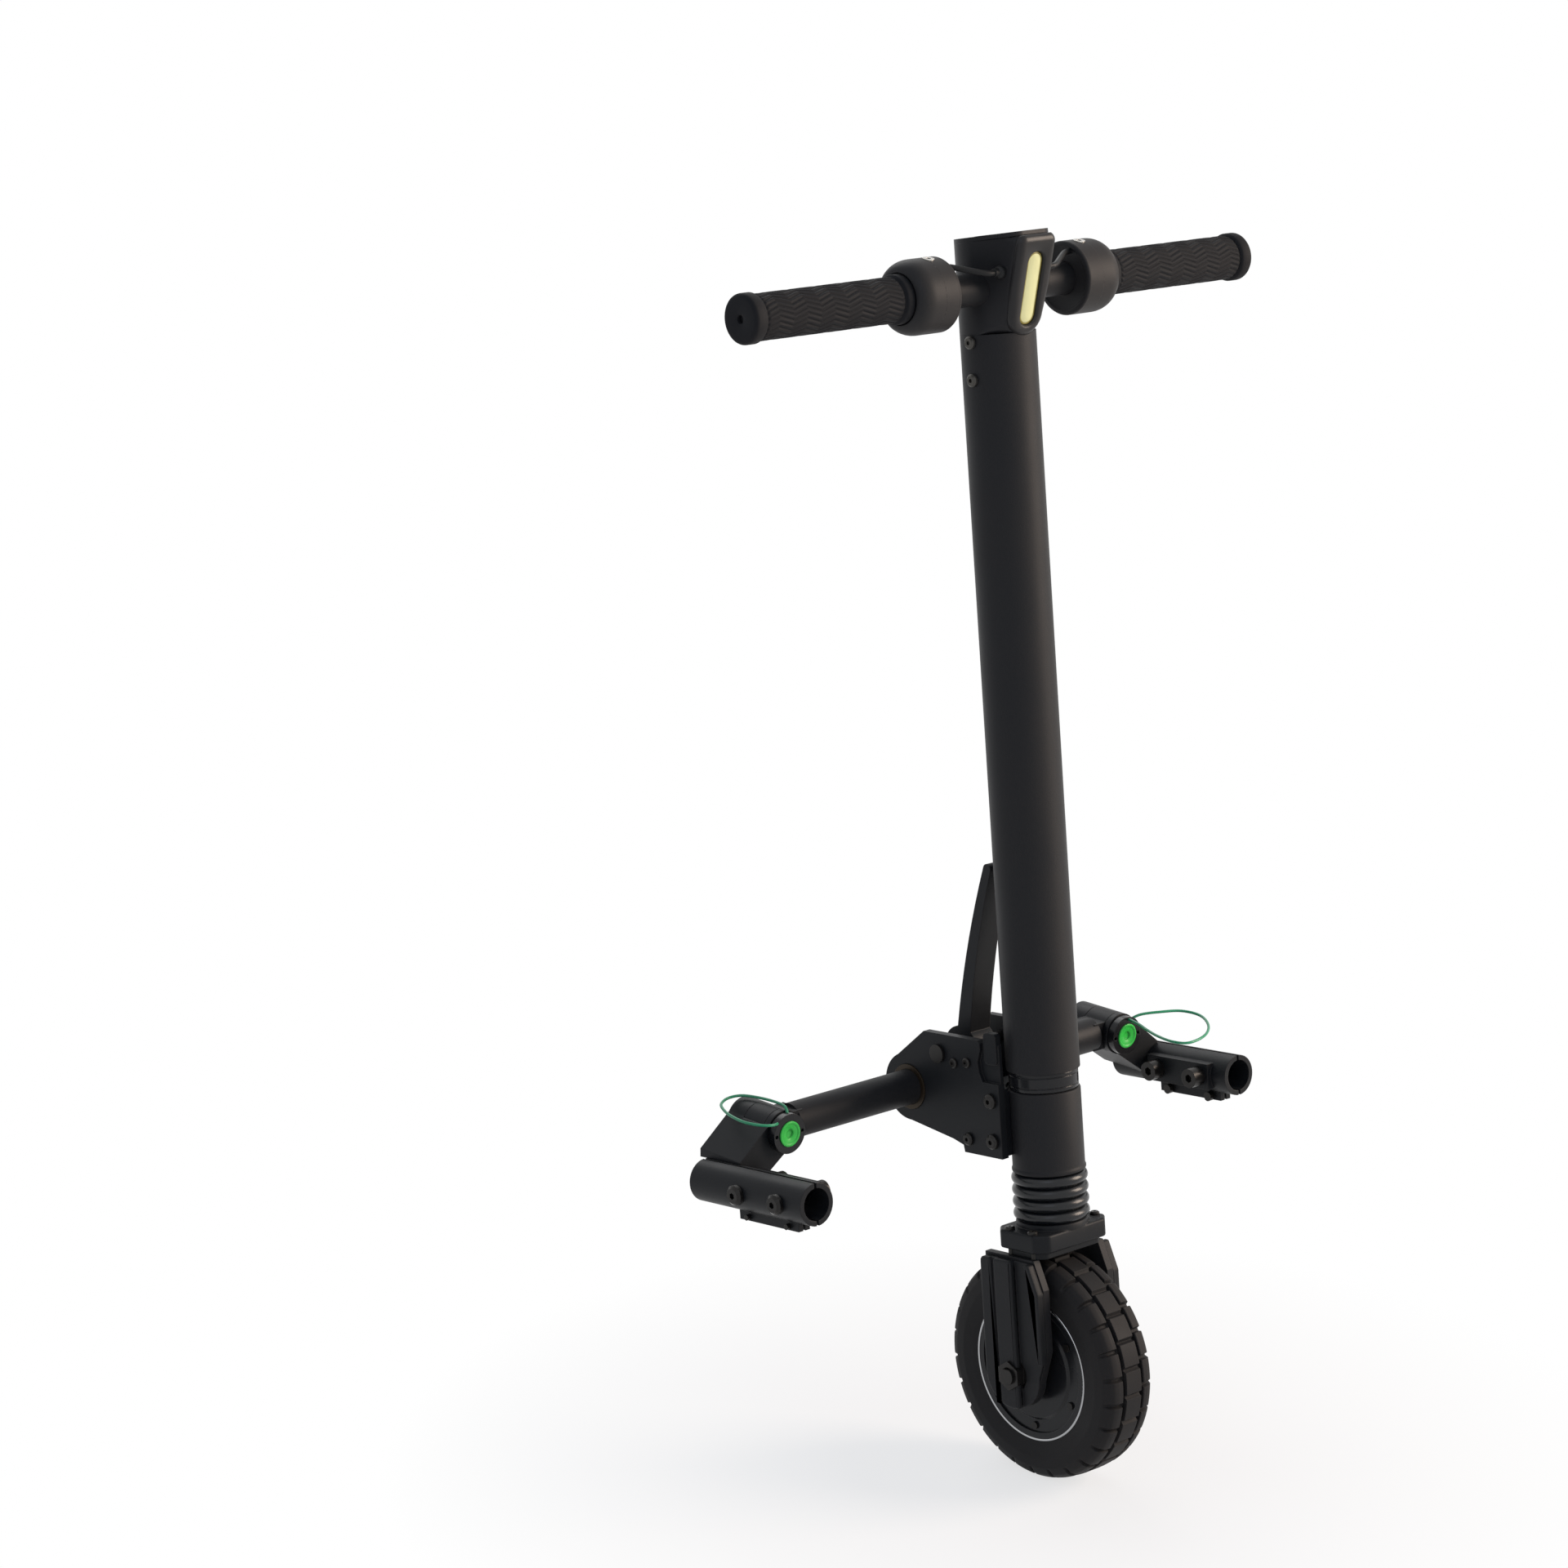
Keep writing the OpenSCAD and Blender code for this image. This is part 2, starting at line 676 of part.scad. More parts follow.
// Stem that plugs into the column and clamps the bar
module bar_stem() {
    screw_d = 5;
    block_half = 15;
    block_back = 11;
    color(STEEL) at_axis() difference() {
        union() {
            translate([0, 0, stem_s]) cylinder(r = column_bore_r - press, h = stem_plug);
            translate([-block_half, -bar_d/2 - 4, column_top - eps])
                cube([2*block_half, bar_d/2 + 4 + block_back, bar_rise + bar_d/2 + 3]);
            translate([-block_half, -bar_lead - bar_d/2 - 3, bar_s - bar_d/2 - 3])
                cube([2*block_half, bar_lead + bar_d/2 + 3 + block_back, bar_d + 6]);
        }
        translate([0, -bar_lead, bar_s]) rod_x(bar_d + 2*press, -column_d, column_d);
        for (s = [5, 30]) translate([0, 0, column_top - s]) rod_x(screw_d + 2*press, -column_d, column_d);
        translate([0, 9, stem_s - 1]) cylinder(d = 9, h = stem_plug + head_h);
    }
}

module column_screws() {
    color(STEEL) at_axis() for (side = SIDES) on_side(side) for (s = [5, 30])
        translate([column_d/2, 0, column_top - s]) rotate([0, 90, 0]) button_screw(5, 14);
}

// Head: form of the housing, a cylinder carried forward to a narrower front
head_front = head_reach + 14;

module head_form(inset, h) {
    r = column_d/2 - inset;
    half = bezel_w/2 - inset;
    tangent = asin((r - half)/head_front);
    union() {
        cylinder(r = r, h = h);
        linear_extrude(h) polygon([
            [-r*cos(tangent), -r*sin(tangent)], [0, r/2], [r*cos(tangent), -r*sin(tangent)],
            [half, -head_front], [-half, -head_front]
        ]);
    }
}

bezel_rise = 30;
bezel_mid_s = column_top + bezel_rise;
lens_drop = 2;
lens_recess = 1.5;
lid_setback = 7;
big = 200;

// Room under the sloping lid
module below_lid(drop) {
    at_axis() translate([0, 0, column_top + head_h - drop]) rotate([-top_slope, 0, 0])
        translate([-big/2, -big/2, -big]) cube([big, big, big]);
}

// Room behind the leaning bezel
module behind_bezel(depth) {
    at_bezel() translate([-big/2, -big/2, -big - depth]) cube([big, big, big]);
}

module head_solid(inset, from, drop, depth) {
    intersection() {
        at_axis() translate([0, 0, from]) head_form(inset, head_h*2);
        below_lid(drop);
        behind_bezel(depth);
    }
}

module head_housing() {
    color(BLACK) difference() {
        head_solid(0, column_top, lid_t, bezel_t);
        head_solid(head_wall, column_top - 1, lid_t - 1, bezel_t + head_wall);
        at_bezel() translate([0, -lens_drop, -bezel_t - head_wall - 1]) linear_extrude(head_wall + 2)
            pill(lens_w + 4, lens_l + 4);
        at_bar() rod_x(bar_d + 2*press, -big, big);
        at_axis() translate([0, lead_in_y, bar_s + lead_in_rise]) rod_x(grommet_d + 2*press, -big, big);
    }
}

module bezel_outline(grow) {
    r = 9;
    end_r = bezel_w/2 - 2;
    translate([0, bezel_l/4]) rounded_rect(bezel_w + grow, bezel_l/2 + grow, r);
    translate([0, end_r - bezel_l/2]) circle(end_r + grow/2);
    polygon([
        [-end_r, end_r - bezel_l/2], [end_r, end_r - bezel_l/2],
        [bezel_w/2, bezel_l/4], [-bezel_w/2, bezel_l/4]
    ]);
}

module lamp_bezel() {
    color(BLACK) difference() {
        intersection() {
            at_bezel() translate([0, 0, -bezel_t]) linear_extrude(bezel_t) bezel_outline(0);
            below_lid(lid_t);
        }
        at_bezel() translate([0, -lens_drop, -bezel_t - 1]) linear_extrude(bezel_t + 2)
            pill(lens_w + 2*run, lens_l + 2*run);
        at_axis() cylinder(d = column_d + 2*run, h = column_top + eps);
    }
}

module lamp_lens() {
    lens_t = bezel_t - lens_recess;
    color("#eef2b8") at_bezel() translate([0, -lens_drop, -bezel_t]) linear_extrude(lens_t)
        pill(lens_w, lens_l);
}

module lamp_board() {
    board_t = 1.6;
    color("#e8e8e4") at_bezel() translate([0, -lens_drop, -bezel_t - board_t]) linear_extrude(board_t)
        pill(lens_w + 3, lens_l + 3);
}

window_w = 26;
window_l = 20;
window_t = 1.5;
window_r = 4;
window_y = -20;
button_y = 8;

module at_lid(y) {
    at_axis() translate([0, 0, column_top + head_h]) rotate([-top_slope, 0, 0])
        translate([0, y, 0]) children();
}

// Room inside the lid's rounded front corners
lid_corner = 12;
lid_front = lid_setback/cos(bezel_lean) - head_reach - (column_top + head_h - bezel_mid_s)*tan(bezel_lean);
lid_half = bezel_w/2 + (column_d - bezel_w)/2*(head_front + lid_front + lid_corner)/head_front;

module lid_room() {
    at_lid(lid_front + lid_corner) translate([0, 0, -2*lid_t]) union() {
        translate([-big/2, 0, 0]) cube([big, big, 4*lid_t]);
        linear_extrude(4*lid_t) rounded_rect(2*lid_half, 2*lid_corner, lid_corner - eps);
    }
}

module dash_lid() {
    color(SATIN) difference() {
        intersection() {
            at_axis() translate([0, 0, column_top]) head_form(0, head_h*2);
            below_lid(0);
            behind_bezel(lid_setback);
            lid_room();
        }
        below_lid(lid_t);
        at_lid(button_y) translate([0, 0, -lid_t*2]) cylinder(d = button_d + 2*run, h = lid_t*4);
        at_lid(window_y) translate([0, 0, -window_t]) linear_extrude(lid_t)
            rounded_rect(window_w, window_l, window_r);
    }
}

module dash_window() {
    color("#101214") at_lid(window_y) translate([0, 0, -window_t]) linear_extrude(window_t - 0.2)
        rounded_rect(window_w - 2*run, window_l - 2*run, window_r - run);
}

// Power button: a cap through the lid, with a flange that keeps it in
module power_button() {
    flange_t = 1.2;
    color("#8d9296") at_lid(button_y) {
        translate([0, 0, -lid_t - 0.6]) cylinder(d = button_d, h = lid_t + 0.9);
        translate([0, 0, -lid_t - 0.3 - flange_t]) cylinder(d = button_d + 3, h = flange_t);
    }
}

// Bar, closed at each end by the cap of a grip
grip_cap = 4;

module handlebar() {
    color(BLACK) at_bar() difference() {
        rod_x(bar_d, grip_cap - bar_w/2, bar_w/2 - grip_cap);
        rod_x(bar_d - 2*bar_wall, -bar_w, bar_w);
    }
}

module grips() {
    flange_l = 8;
    end_l = 5;
    inner = bar_d/2 + press;
    flange = grip_flange_d/2;
    from = bar_w/2 - grip_l;
    to = bar_w/2;
    cap = to - grip_cap + press;
    hole_r = 2.5;
    color(BLACK) for (side = SIDES) on_side(side) at_bar() rotate([0, 90, 0]) rotate_extrude() polygon([
        [inner, from], [flange, from], [flange, from + flange_l], [grip_d/2, from + flange_l + 1],
        [grip_d/2, to - end_l - 1], [flange, to - end_l], [flange, to - 1], [flange - 1, to],
        [hole_r, to], [hole_r, cap], [inner, cap]
    ]);
}

// Control housing: a drum on the bar, open on its inner side, with a dish for the grip's end and a
// window for the paddle's arm
control_wall = 3.5;
control_web = 15;
shoulder_l = 12;
dish_gap = 0.6;
dish_r = grip_flange_d/2 + dish_gap;
shoulder_r = control_d/2 - dish_r - 0.2;
grip_gap = 1;
control_in = bar_w/2 - grip_l - grip_gap + control_dish - control_l;
screw_x = (control_l - shoulder_l)/2;
control_room = control_l - control_dish - control_web;
control_screw_d = 8;
screw_lean = 15;
face_in = 0.8;
face_t = 1.2;
window_from = -paddle_swing - 30;
window_to = 12;

module control_housings() {
    inner_r = control_d/2 - control_wall;
    color(BLACK) for (side = SIDES) on_side(side) at_bar() translate([control_in, 0, 0]) difference() {
        rotate([0, 90, 0]) rotate_extrude() polygon(concat(
            [[0, 0], [control_d/2, 0]],
            [for (a = [0:7.5:90])
                [control_d/2 - shoulder_r*(1 - cos(a)), control_l - shoulder_l*(1 - sin(a))]],
            [[0, control_l]]));
        rod_x(2*inner_r, -1, face_in);
        rod_x(2*inner_r, face_in + face_t, control_room);
        rod_x(bar_d + 2*press, -1, control_l + 1);
        translate([0, lead_route[0][1] + bar_lead, lead_route[0][2]])
            rod_x(control_lead_d + 2*press, -1, control_room);
        rod_x(2*dish_r, control_l - control_dish, control_l + 1);
        rotate([90, 0, 90]) rotate([0, 0, window_from]) rotate_extrude(angle = window_to - window_from)
            translate([inner_r - 1, face_in + face_t]) square([control_wall + 3, control_room - 4]);
        translate([screw_x, 0, 0]) rotate([screw_lean, 0, 0]) translate([0, 0, control_d/2 - 2])
            cylinder(d = control_screw_d + 2*clear, h = control_d, $fn = small_fn);
    }
}

module control_screws() {
    color(STEEL) for (side = SIDES) on_side(side) at_bar()
        translate([control_in + screw_x, 0, 0]) rotate([screw_lean, 0, 0]) translate([0, 0, control_d/2 - 2])
            difference() {
                cylinder(d = control_screw_d, h = 2.4, $fn = small_fn);
                translate([0, 0, 1.2]) cylinder(d = 0.45*control_screw_d, h = 2, $fn = 6);
            }
}

// Thumb paddle: a hub on the bar, an arm through the window and a pad behind the bar
module thumb_paddle(side) {
    hub_d = bar_d + 10;
    hub_from = face_in + face_t + 0.3;
    hub_to = control_room - 1;
    arm_w = hub_to - hub_from - 3;
    pad_r = control_d/2 + 10;
    pad_l = 0.7*control_l;
    color(BLACK) on_side(side) at_bar() translate([control_in, 0, 0]) difference() {
        union() {
            rod_x(hub_d, hub_from, hub_to);
            translate([hub_from + 1.5, bar_d/2 + 1, -5]) cube([arm_w, pad_r - bar_d/2, 5]);
            translate([hub_from + 1.5, pad_r - 3, -9]) cube([pad_l, 5, 20]);
        }
        rod_x(bar_d + 2*run, 0, control_l);
    }
}

module throttle_paddle() { thumb_paddle(RIGHT); }

module brake_paddle() { thumb_paddle(LEFT); }

// Leads from the control housings through grommets into the sides of the head; the route's last
// value is the height above the bar
control_lead_d = 4;
grommet_d = 8;
lead_in_y = -26;
lead_in_rise = 11;
grommet_from = 19.5;
grommet_to = 24;
lead_route = [
    [74, -12, 18], [66, -12, 18], [58, -12, 18], [54, -13, 17.5], [50, -15, 16.5], [45, -18, 15],
    [40, -21, 13.5], [35, -24, 12], [30, -26, 11], [25, -26, 11], [19, -26, 11]
];

module control_leads() {
    route = [for (p = lead_route) p + [0, 0, bar_s]];
    color(BLACK) for (side = SIDES) on_side(side) at_axis() {
        tube(route, control_lead_d, 10, [0, 0, 1]);
        translate([0, lead_in_y, bar_s + lead_in_rise]) difference() {
            rod_x(grommet_d, grommet_from, grommet_to);
            rod_x(control_lead_d + 2*press, 0, big);
        }
    }
}

// Tilt bracket: what turns on the crossbar and holds the head tube

module head_tube() {
    lip_h = 3;
    bore_d = steerer_d + 5;
    seat_d = steer_bearing_d + 2*press;
    color(BLACK) at_axis() translate([0, 0, head_tube_s]) difference() {
        union() {
            cylinder(d = head_tube_d, h = head_tube_l);
            cylinder(d = head_tube_d + 1.2, h = lip_h);
        }
        translate([0, 0, -1]) cylinder(d = bore_d, h = head_tube_l + 2);
        translate([0, 0, -1]) cylinder(d = seat_d, h = steer_bearing_w + 1);
        translate([0, 0, head_tube_l - steer_bearing_w]) cylinder(d = seat_d, h = steer_bearing_w + 1);
    }
}

module steering_bearings() {
    color(STEEL) at_axis() for (s = [head_tube_s, collar_s - steer_bearing_w])
        translate([0, 0, s]) ring(steer_bearing_d, steerer_d + 2*run, steer_bearing_w);
}

bush_d = crossbar_d + 7;
lever_ahead = 32;
lever_above = 28;
lever_y = dock_local_y - lever_ahead;
lever_s = dock_local_s + lever_above;
block_y = column_d/2 + 12;
block_from = head_tube_s + 12;
block_top = collar_s + 2;
plate_front = 10.6;
stop_y = dock_local_y - drum_r - 7;
stop_s = dock_local_s - 3;
stop_d = 10;
spacer_rod_y = block_y + 5;
spacer_rod_d = 12;
spacer_rod_s = head_tube_s + 22;

// Outline of a side plate, across the steering axis and along it, with a notch in its upper front
plate_top = lever_s + 14;
notch_s = block_top + 4.5;
notch_y = plate_front + 16;

module plate_outline() {
    polygon([
        [plate_front, block_from], [plate_front, notch_s], [notch_y - 1, notch_s], [notch_y + 2, notch_s + 6],
        [notch_y + 3, notch_s + 14], [notch_y, notch_s + 22], [notch_y, plate_top - 2],
        [notch_y + 2, plate_top], [lever_y + 14, plate_top],
        [dock_local_y + 0.7*boss_r, dock_local_s + 0.7*boss_r],
        [dock_local_y, dock_local_s - boss_r], [spacer_rod_y + 16, block_from + 8],
        [spacer_rod_y + 6, block_from + 5], [spacer_rod_y + 5, block_from]
    ]);
    translate([dock_local_y, dock_local_s]) circle(boss_r);
}

module side_plates() {
    tab_t = plate_t/2;
    color(BLACK) at_axis() for (side = SIDES) on_side(side) difference() {
        union() {
            along_x(plate_x, plate_out) plate_outline();
            along_x(plate_x, plate_x + tab_t) translate([plate_front + 0.5, notch_s - 1])
                square([notch_y - plate_front + 3, plate_top - notch_s - 1]);
            along_x(plate_x, plate_out - 1) translate([plate_front + 7, notch_s + 24])
                rounded_rect(12, 22, 3);
        }
        translate([0, dock_local_y, dock_local_s]) rod_x(bush_d + 2*press, 0, 2*plate_out);
        translate([0, lever_y, lever_s]) rod_x(lever_pin_d + 2*press, 0, 2*plate_out);
        for (hole = screw_holes) translate([0, hole[0], hole[1]]) rod_x(hole[2] + 2*press, 0, 2*plate_out);
    }
}

// Screws in each side plate: across, along, diameter, depth
screw_holes = [
    [plate_front + 8, block_top - 8, 6, plate_t + 5], [plate_front + 8, block_from + 11.5, 6, plate_t + 5],
    [spacer_rod_y, spacer_rod_s, 5, plate_t + 10],
    [lever_y - 15, lever_s - 5, 4, plate_t - 1], [lever_y - 28, lever_s - 3, 4, plate_t - 1]
];

// Clamp block behind the head tube, the lower spacer rod and the tilt stop's rod
module bracket_blocks() {
    color(SATIN) at_axis() difference() {
        union() {
            translate([-plate_x, plate_front + 1, block_from + 1])
                cube([2*plate_x, block_y - plate_front - 1, block_top - block_from - 1]);
            translate([0, spacer_rod_y, spacer_rod_s]) rod_x(spacer_rod_d, -plate_x, plate_x);
            translate([0, stop_y, stop_s]) rod_x(stop_d, -plate_x, plate_x);
        }
        cylinder(d = head_tube_d + 2*press, h = collar_s + eps);
        translate([0, 0, collar_s]) cylinder(d = column_d + 2*clear + 1, h = big);
        for (side = SIDES) on_side(side) for (hole = screw_holes)
            translate([0, hole[0], hole[1]]) rod_x(hole[2] + 2*press, plate_out - hole[3], 2*plate_out);
    }
}

module bracket_screws() {
    color(STEEL) at_axis() for (side = SIDES) on_side(side) for (hole = screw_holes)
        translate([plate_out, hole[0], hole[1]]) rotate([0, 90, 0]) button_screw(hole[2], hole[3]);
}

drum_half = lever_w/2 + 2;

module pivot_bushes() {
    color("#b08d57") at_axis() for (side = SIDES) on_side(side)
        translate([0, dock_local_y, dock_local_s]) difference() {
            rod_x(bush_d, drum_half + clear, plate_out + 1);
            rod_x(crossbar_d + 2*run, 0, 2*plate_out);
        }
}

module lever_pin() {
    color(STEEL) at_axis() translate([0, lever_y, lever_s]) {
        rod_x(lever_pin_d, -plate_out, plate_out);
        for (side = SIDES) on_side(side) rod_x(lever_pin_d + 5, plate_out, plate_out + 2.5);
    }
}

// Lock lever: an eccentric cam against the drum and a curved arm up behind the column
lever_rise = 129;
lever_bend_rise = 65;
lever_tip_gap = 8;
lever_bend_lead = 10;
lever_tip = [column_d/2 + lever_tip_gap, lever_s + lever_rise];
lever_bend = [lever_y - lever_bend_lead, lever_s + lever_bend_rise];
lever_base = [lever_y, lever_s + 2];

function lever_line(t) = (1 - t)*(1 - t)*lever_base + 2*t*(1 - t)*lever_bend + t*t*lever_tip;
function lever_across(t) =
    let (d = unit(2*(1 - t)*(lever_bend - lever_base) + 2*t*(lever_tip - lever_bend))) [d[1], -d[0]];
function lever_half(t) = 6.5 - 3*t;

module lock_lever() {
    steps = 10;
    reach = norm([dock_local_y - lever_y, dock_local_s - lever_s]) - drum_r - clear;
    offset_r = 3;
    toward = unit([dock_local_y - lever_y, dock_local_s - lever_s]);
    color(BLACK) at_axis() difference() {
        union() {
            translate([0, lever_y + offset_r*toward[0], lever_s + offset_r*toward[1]])
                rod_x(2*(reach - offset_r), -lever_w/2, lever_w/2);
            along_x(-lever_w/2, lever_w/2) polygon(concat(
                [for (i = [0:steps]) lever_line(i/steps) + lever_half(i/steps)*lever_across(i/steps)],
                [for (i = [steps:-1:0]) lever_line(i/steps) - lever_half(i/steps)*lever_across(i/steps)]));
            translate([0, lever_tip[0], lever_tip[1]]) rod_x(2*lever_half(1), -lever_w/2, lever_w/2);
        }
        translate([0, lever_y, lever_s]) rod_x(lever_pin_d + 2*run, -lever_w, lever_w);
    }
}

// Chair mount: the crossbar with its lock drum, the adapter arms and the rail clamps

eye_front = -9;
eye_back = 11;

module crossbar() {
    end_x = pin_x - barrel_d/2 - 3;
    tongue_h = 0.8*crossbar_d;
    color(BLACK) difference() {
        union() {
            at_dock() rod_x(crossbar_d, -end_x, end_x);
            at_dock() for (side = SIDES) on_side(side) {
                translate([end_x - 4, eye_front, -tongue_h/2])
                    cube([pin_x - end_x + 4, eye_back - eye_front, tongue_h]);
                translate([pin_x, 0, 0]) rod_y(barrel_d, eye_front, eye_back);
            }
            lock_drum();
        }
        at_dock() rod_x(crossbar_d - 2*crossbar_wall, 6 - end_x, end_x - 6);
        at_dock() for (side = SIDES) on_side(side) translate([pin_x, 0, 0]) rod_y(pin_d + 2*run, -big, big);
    }
}

// Drum that the lever's cam bears on, with the ledge under the tilt stop
module lock_drum() {
    ledge_h = 7;
    at_axis() {
        translate([0, dock_local_y, dock_local_s]) rod_x(2*drum_r, -drum_half, drum_half);
        translate([-drum_half, stop_y - 5, stop_s - stop_d/2 - clear - ledge_h])
            cube([2*drum_half, dock_local_y - stop_y - 8, ledge_h]);
    }
}

sleeve_r = rail_r + sleeve_wall;
jaw_split = 1;
flange_t = 4;
flange_h = 5.5;
flange_screw_d = 4;
bolt_mid_y = -49.5;
bolt_pad_h = 2*bolt_d + 3;
bolt_pad_x = sleeve_r + 3;
BOLT_ENDS = [-1, 1];

module along_y(from, to) {
    translate([0, to, 0]) rotate([90, 0, 0]) linear_extrude(to - from) children();
}

module at_rail() {
    translate([rail_x, 0, -rail_drop]) rotate([-rail_tilt, 0, 0]) children();
}

// Room for the crossbar's eye between the two lugs
module eye_room() {
    room = eye_back - eye_front + 2*clear;
    translate([pin_x, 0, 0]) rod_y(barrel_d + 2*clear, eye_front - clear, eye_back + clear);
    translate([pin_x - barrel_d, eye_front - clear, -barrel_d/2 - clear])
        cube([barrel_d, room, barrel_d + 2*clear]);
}

// Lugs either side of the eye, with a sloping web down to the rail clamp
module adapter_lugs() {
    web_top = barrel_d/2 - 1;
    rail_side = rail_x - jaw_split - 1;
    color(BLACK) at_dock() for (side = SIDES) on_side(side) difference() {
        union() {
            translate([pin_x, 0, 0]) rod_y(barrel_d, -barrel_front, barrel_back);
            along_y(-barrel_front, barrel_back) polygon([
                [pin_x - 2, web_top], [pin_x + 5, web_top], [rail_side, sleeve_r + 3 - rail_drop],
                [rail_side, -rail_drop], [rail_x - sleeve_r + 2, -rail_drop - rail_r/2],
                [pin_x - 5, 1 - web_top]
            ]);
        }
        eye_room();
        translate([pin_x, 0, 0]) rod_y(pin_d + 2*run, -big, big);
        at_rail() rod_y(2*sleeve_r + 2*press, -big, big);
    }
}

// Half of a rail clamp, with a flange below: out is 1 for the half away from the middle
module half_sleeve(out) {
    flange_half = bolt_pitch/2 + bolt_pad_h/2;
    at_rail() difference() {
        union() {
            rod_y(2*sleeve_r, -jaw_front, jaw_back);
            along_y(bolt_mid_y - flange_half, bolt_mid_y + flange_half)
                translate([-flange_t - jaw_split, -sleeve_r - flange_h])
                    square([2*(flange_t + jaw_split), sleeve_r + flange_h]);
            translate([-bolt_pad_x, bolt_mid_y - flange_half, -bolt_pad_h/2])
                cube([bolt_pad_x, 2*flange_half, bolt_pad_h]);
        }
        rod_y(2*rail_r, -big, big);
        translate([out > 0 ? -big : -jaw_split, -big, -big]) cube([big + jaw_split, 2*big, 2*big]);
        for (end = BOLT_ENDS) translate([0, bolt_mid_y + end*bolt_pitch/2, 0]) {
            rod_x(bolt_d + 2*press, -big, big);
            translate([0, 0, -sleeve_r - flange_h/2]) rod_x(flange_screw_d + 2*press, -big, big);
        }
    }
}

module inner_jaws() {
    color(BLACK) at_dock() for (side = SIDES) on_side(side) half_sleeve(-1);
}

module outer_jaws() {
    color(BLACK) at_dock() for (side = SIDES) on_side(side) half_sleeve(1);
}

// Cap screws in bosses, button screws opposite and the screws that draw the flanges together
module clamp_bolts() {
    head_d = 1.75*bolt_d;
    head_l = 1.25*bolt_d;
    flange_out = flange_t + jaw_split;
    tip = rail_r + clear;
    color(STEEL) at_dock() for (side = SIDES) on_side(side) at_rail() for (end = BOLT_ENDS)
        translate([0, bolt_mid_y + end*bolt_pitch/2, 0]) {
            difference() {
                union() {
                    rod_x(head_d, -bolt_pad_x - head_l, -bolt_pad_x);
                    rod_x(bolt_d, -bolt_pad_x - eps, -tip);
                }
                translate([-bolt_pad_x - head_l - 1, 0, 0]) rotate([0, 90, 0])
                    cylinder(d = 0.8*bolt_d, h = bolt_d/2 + 1, $fn = 6);
            }
            translate([sleeve_r, 0, 0]) rotate([0, 90, 0]) button_screw(bolt_d, sleeve_r - tip);
            translate([0, 0, -sleeve_r - flange_h/2]) {
                rod_x(flange_screw_d, -flange_out - eps, flange_out + 3);
                rod_x(1.7*flange_screw_d, -flange_out - flange_screw_d, -flange_out);
            }
        }
}

// Quick-release pins and their pull loops
pin_head_t = 6;
pin_gap = 0.3;
loop_d = 2;

right_loop = [
    [-163, 64, 273], [-162, 67, 277], [-161, 73, 278.5], [-162, 89, 278.5], [-167, 105, 278],
    [-176, 110, 277], [-186, 106, 276], [-191, 98, 275], [-194, 87, 274], [-194, 73, 273], [-188, 63, 272],
    [-180, 60, 271], [-172, 63, 270]
];
left_loop = [
    [170, 63, 272], [176, 59, 275], [188, 52, 276], [202, 43, 276], [206, 28, 275], [195, 10, 274],
    [178, -2, 273], [160, -4, 272], [153, 5, 272], [154, 20, 272], [159, 36, 272], [164, 50, 272.5],
    [166, 63, 273]
];
pin_head_y = -barrel_front - pin_gap;
pin_face_y = pin_head_y - pin_head_t;
pin_stem_d = 6;
pin_stem_l = 1.2;

module quick_pin(side) {
    color(SATIN) at_dock() translate([side*pin_x, 0, 0]) difference() {
        union() {
            rod_y(pin_d, pin_head_y - 1, barrel_back - 1);
            rod_y(pin_head_d, pin_face_y, pin_head_y);
        }
        rod_y(pin_button_d + 2*run, pin_face_y - 1, pin_face_y + 2 + pin_button_travel);
        rod_y(pin_stem_d + 2*run, pin_face_y, pin_face_y + 2.3 + pin_stem_l + pin_button_travel);
        for (x = [-1, 1]) translate([x*(pin_head_d + pin_button_d)/4, 0, 0])
            rod_y(2.6, pin_face_y - 1, pin_face_y + 3);
    }
}

module pin_button(side) {
    color(GREEN) at_dock() translate([side*pin_x, 0, 0]) difference() {
        union() {
            rod_y(pin_button_d, pin_face_y - 1, pin_face_y + 2 - clear);
            rod_y(pin_stem_d, pin_face_y, pin_face_y + 2 + pin_stem_l);
        }
        rod_y(pin_button_d/3, pin_face_y - 2, pin_face_y);
    }
}

module pull_loop(route) {
    color(GREEN) tube(smooth_route(route, 3), loop_d, 8, [0, 0, 1]);
}

module right_pin() { quick_pin(RIGHT); }

module left_pin() { quick_pin(LEFT); }

module right_pin_button() { pin_button(RIGHT); }

module left_pin_button() { pin_button(LEFT); }

module right_pull_loop() { pull_loop(right_loop); }

module left_pull_loop() { pull_loop(left_loop); }

tyre();
hub_shell();
hub_covers();
hub_cover_screws();
rotor_magnets();
hub_bearings();
axle();
axle_spacers();
axle_nuts();
stator();
stator_windings();
fork_legs();
leg_covers();
fork_crown();
fork_bolts();
slider_tube();
steerer_tube();
collar_ring();
bellows();
suspension_spring();
column_base();
column_tube();
battery_cells();
battery_spacers();
controller_board();
bar_stem();
column_screws();
head_housing();
lamp_bezel();
lamp_lens();
lamp_board();
dash_lid();
dash_window();
power_button();
handlebar();
grips();
control_housings();
control_screws();
control_leads();
throttle_paddle();
brake_paddle();
head_tube();
steering_bearings();
side_plates();
bracket_blocks();
bracket_screws();
pivot_bushes();
lever_pin();
lock_lever();
crossbar();
adapter_lugs();
inner_jaws();
outer_jaws();
clamp_bolts();
right_pin();
left_pin();
right_pin_button();
left_pin_button();
right_pull_loop();
left_pull_loop();
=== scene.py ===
"""Dress the wheelchair power assist for the studio: its finer shapes, finishes, floor, light and camera.

Lengths are in millimetres until a mesh is written, which is in metres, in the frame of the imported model:
front towards -Y, the rider's left towards +X, the floor at Z = 0.
"""
from __future__ import annotations

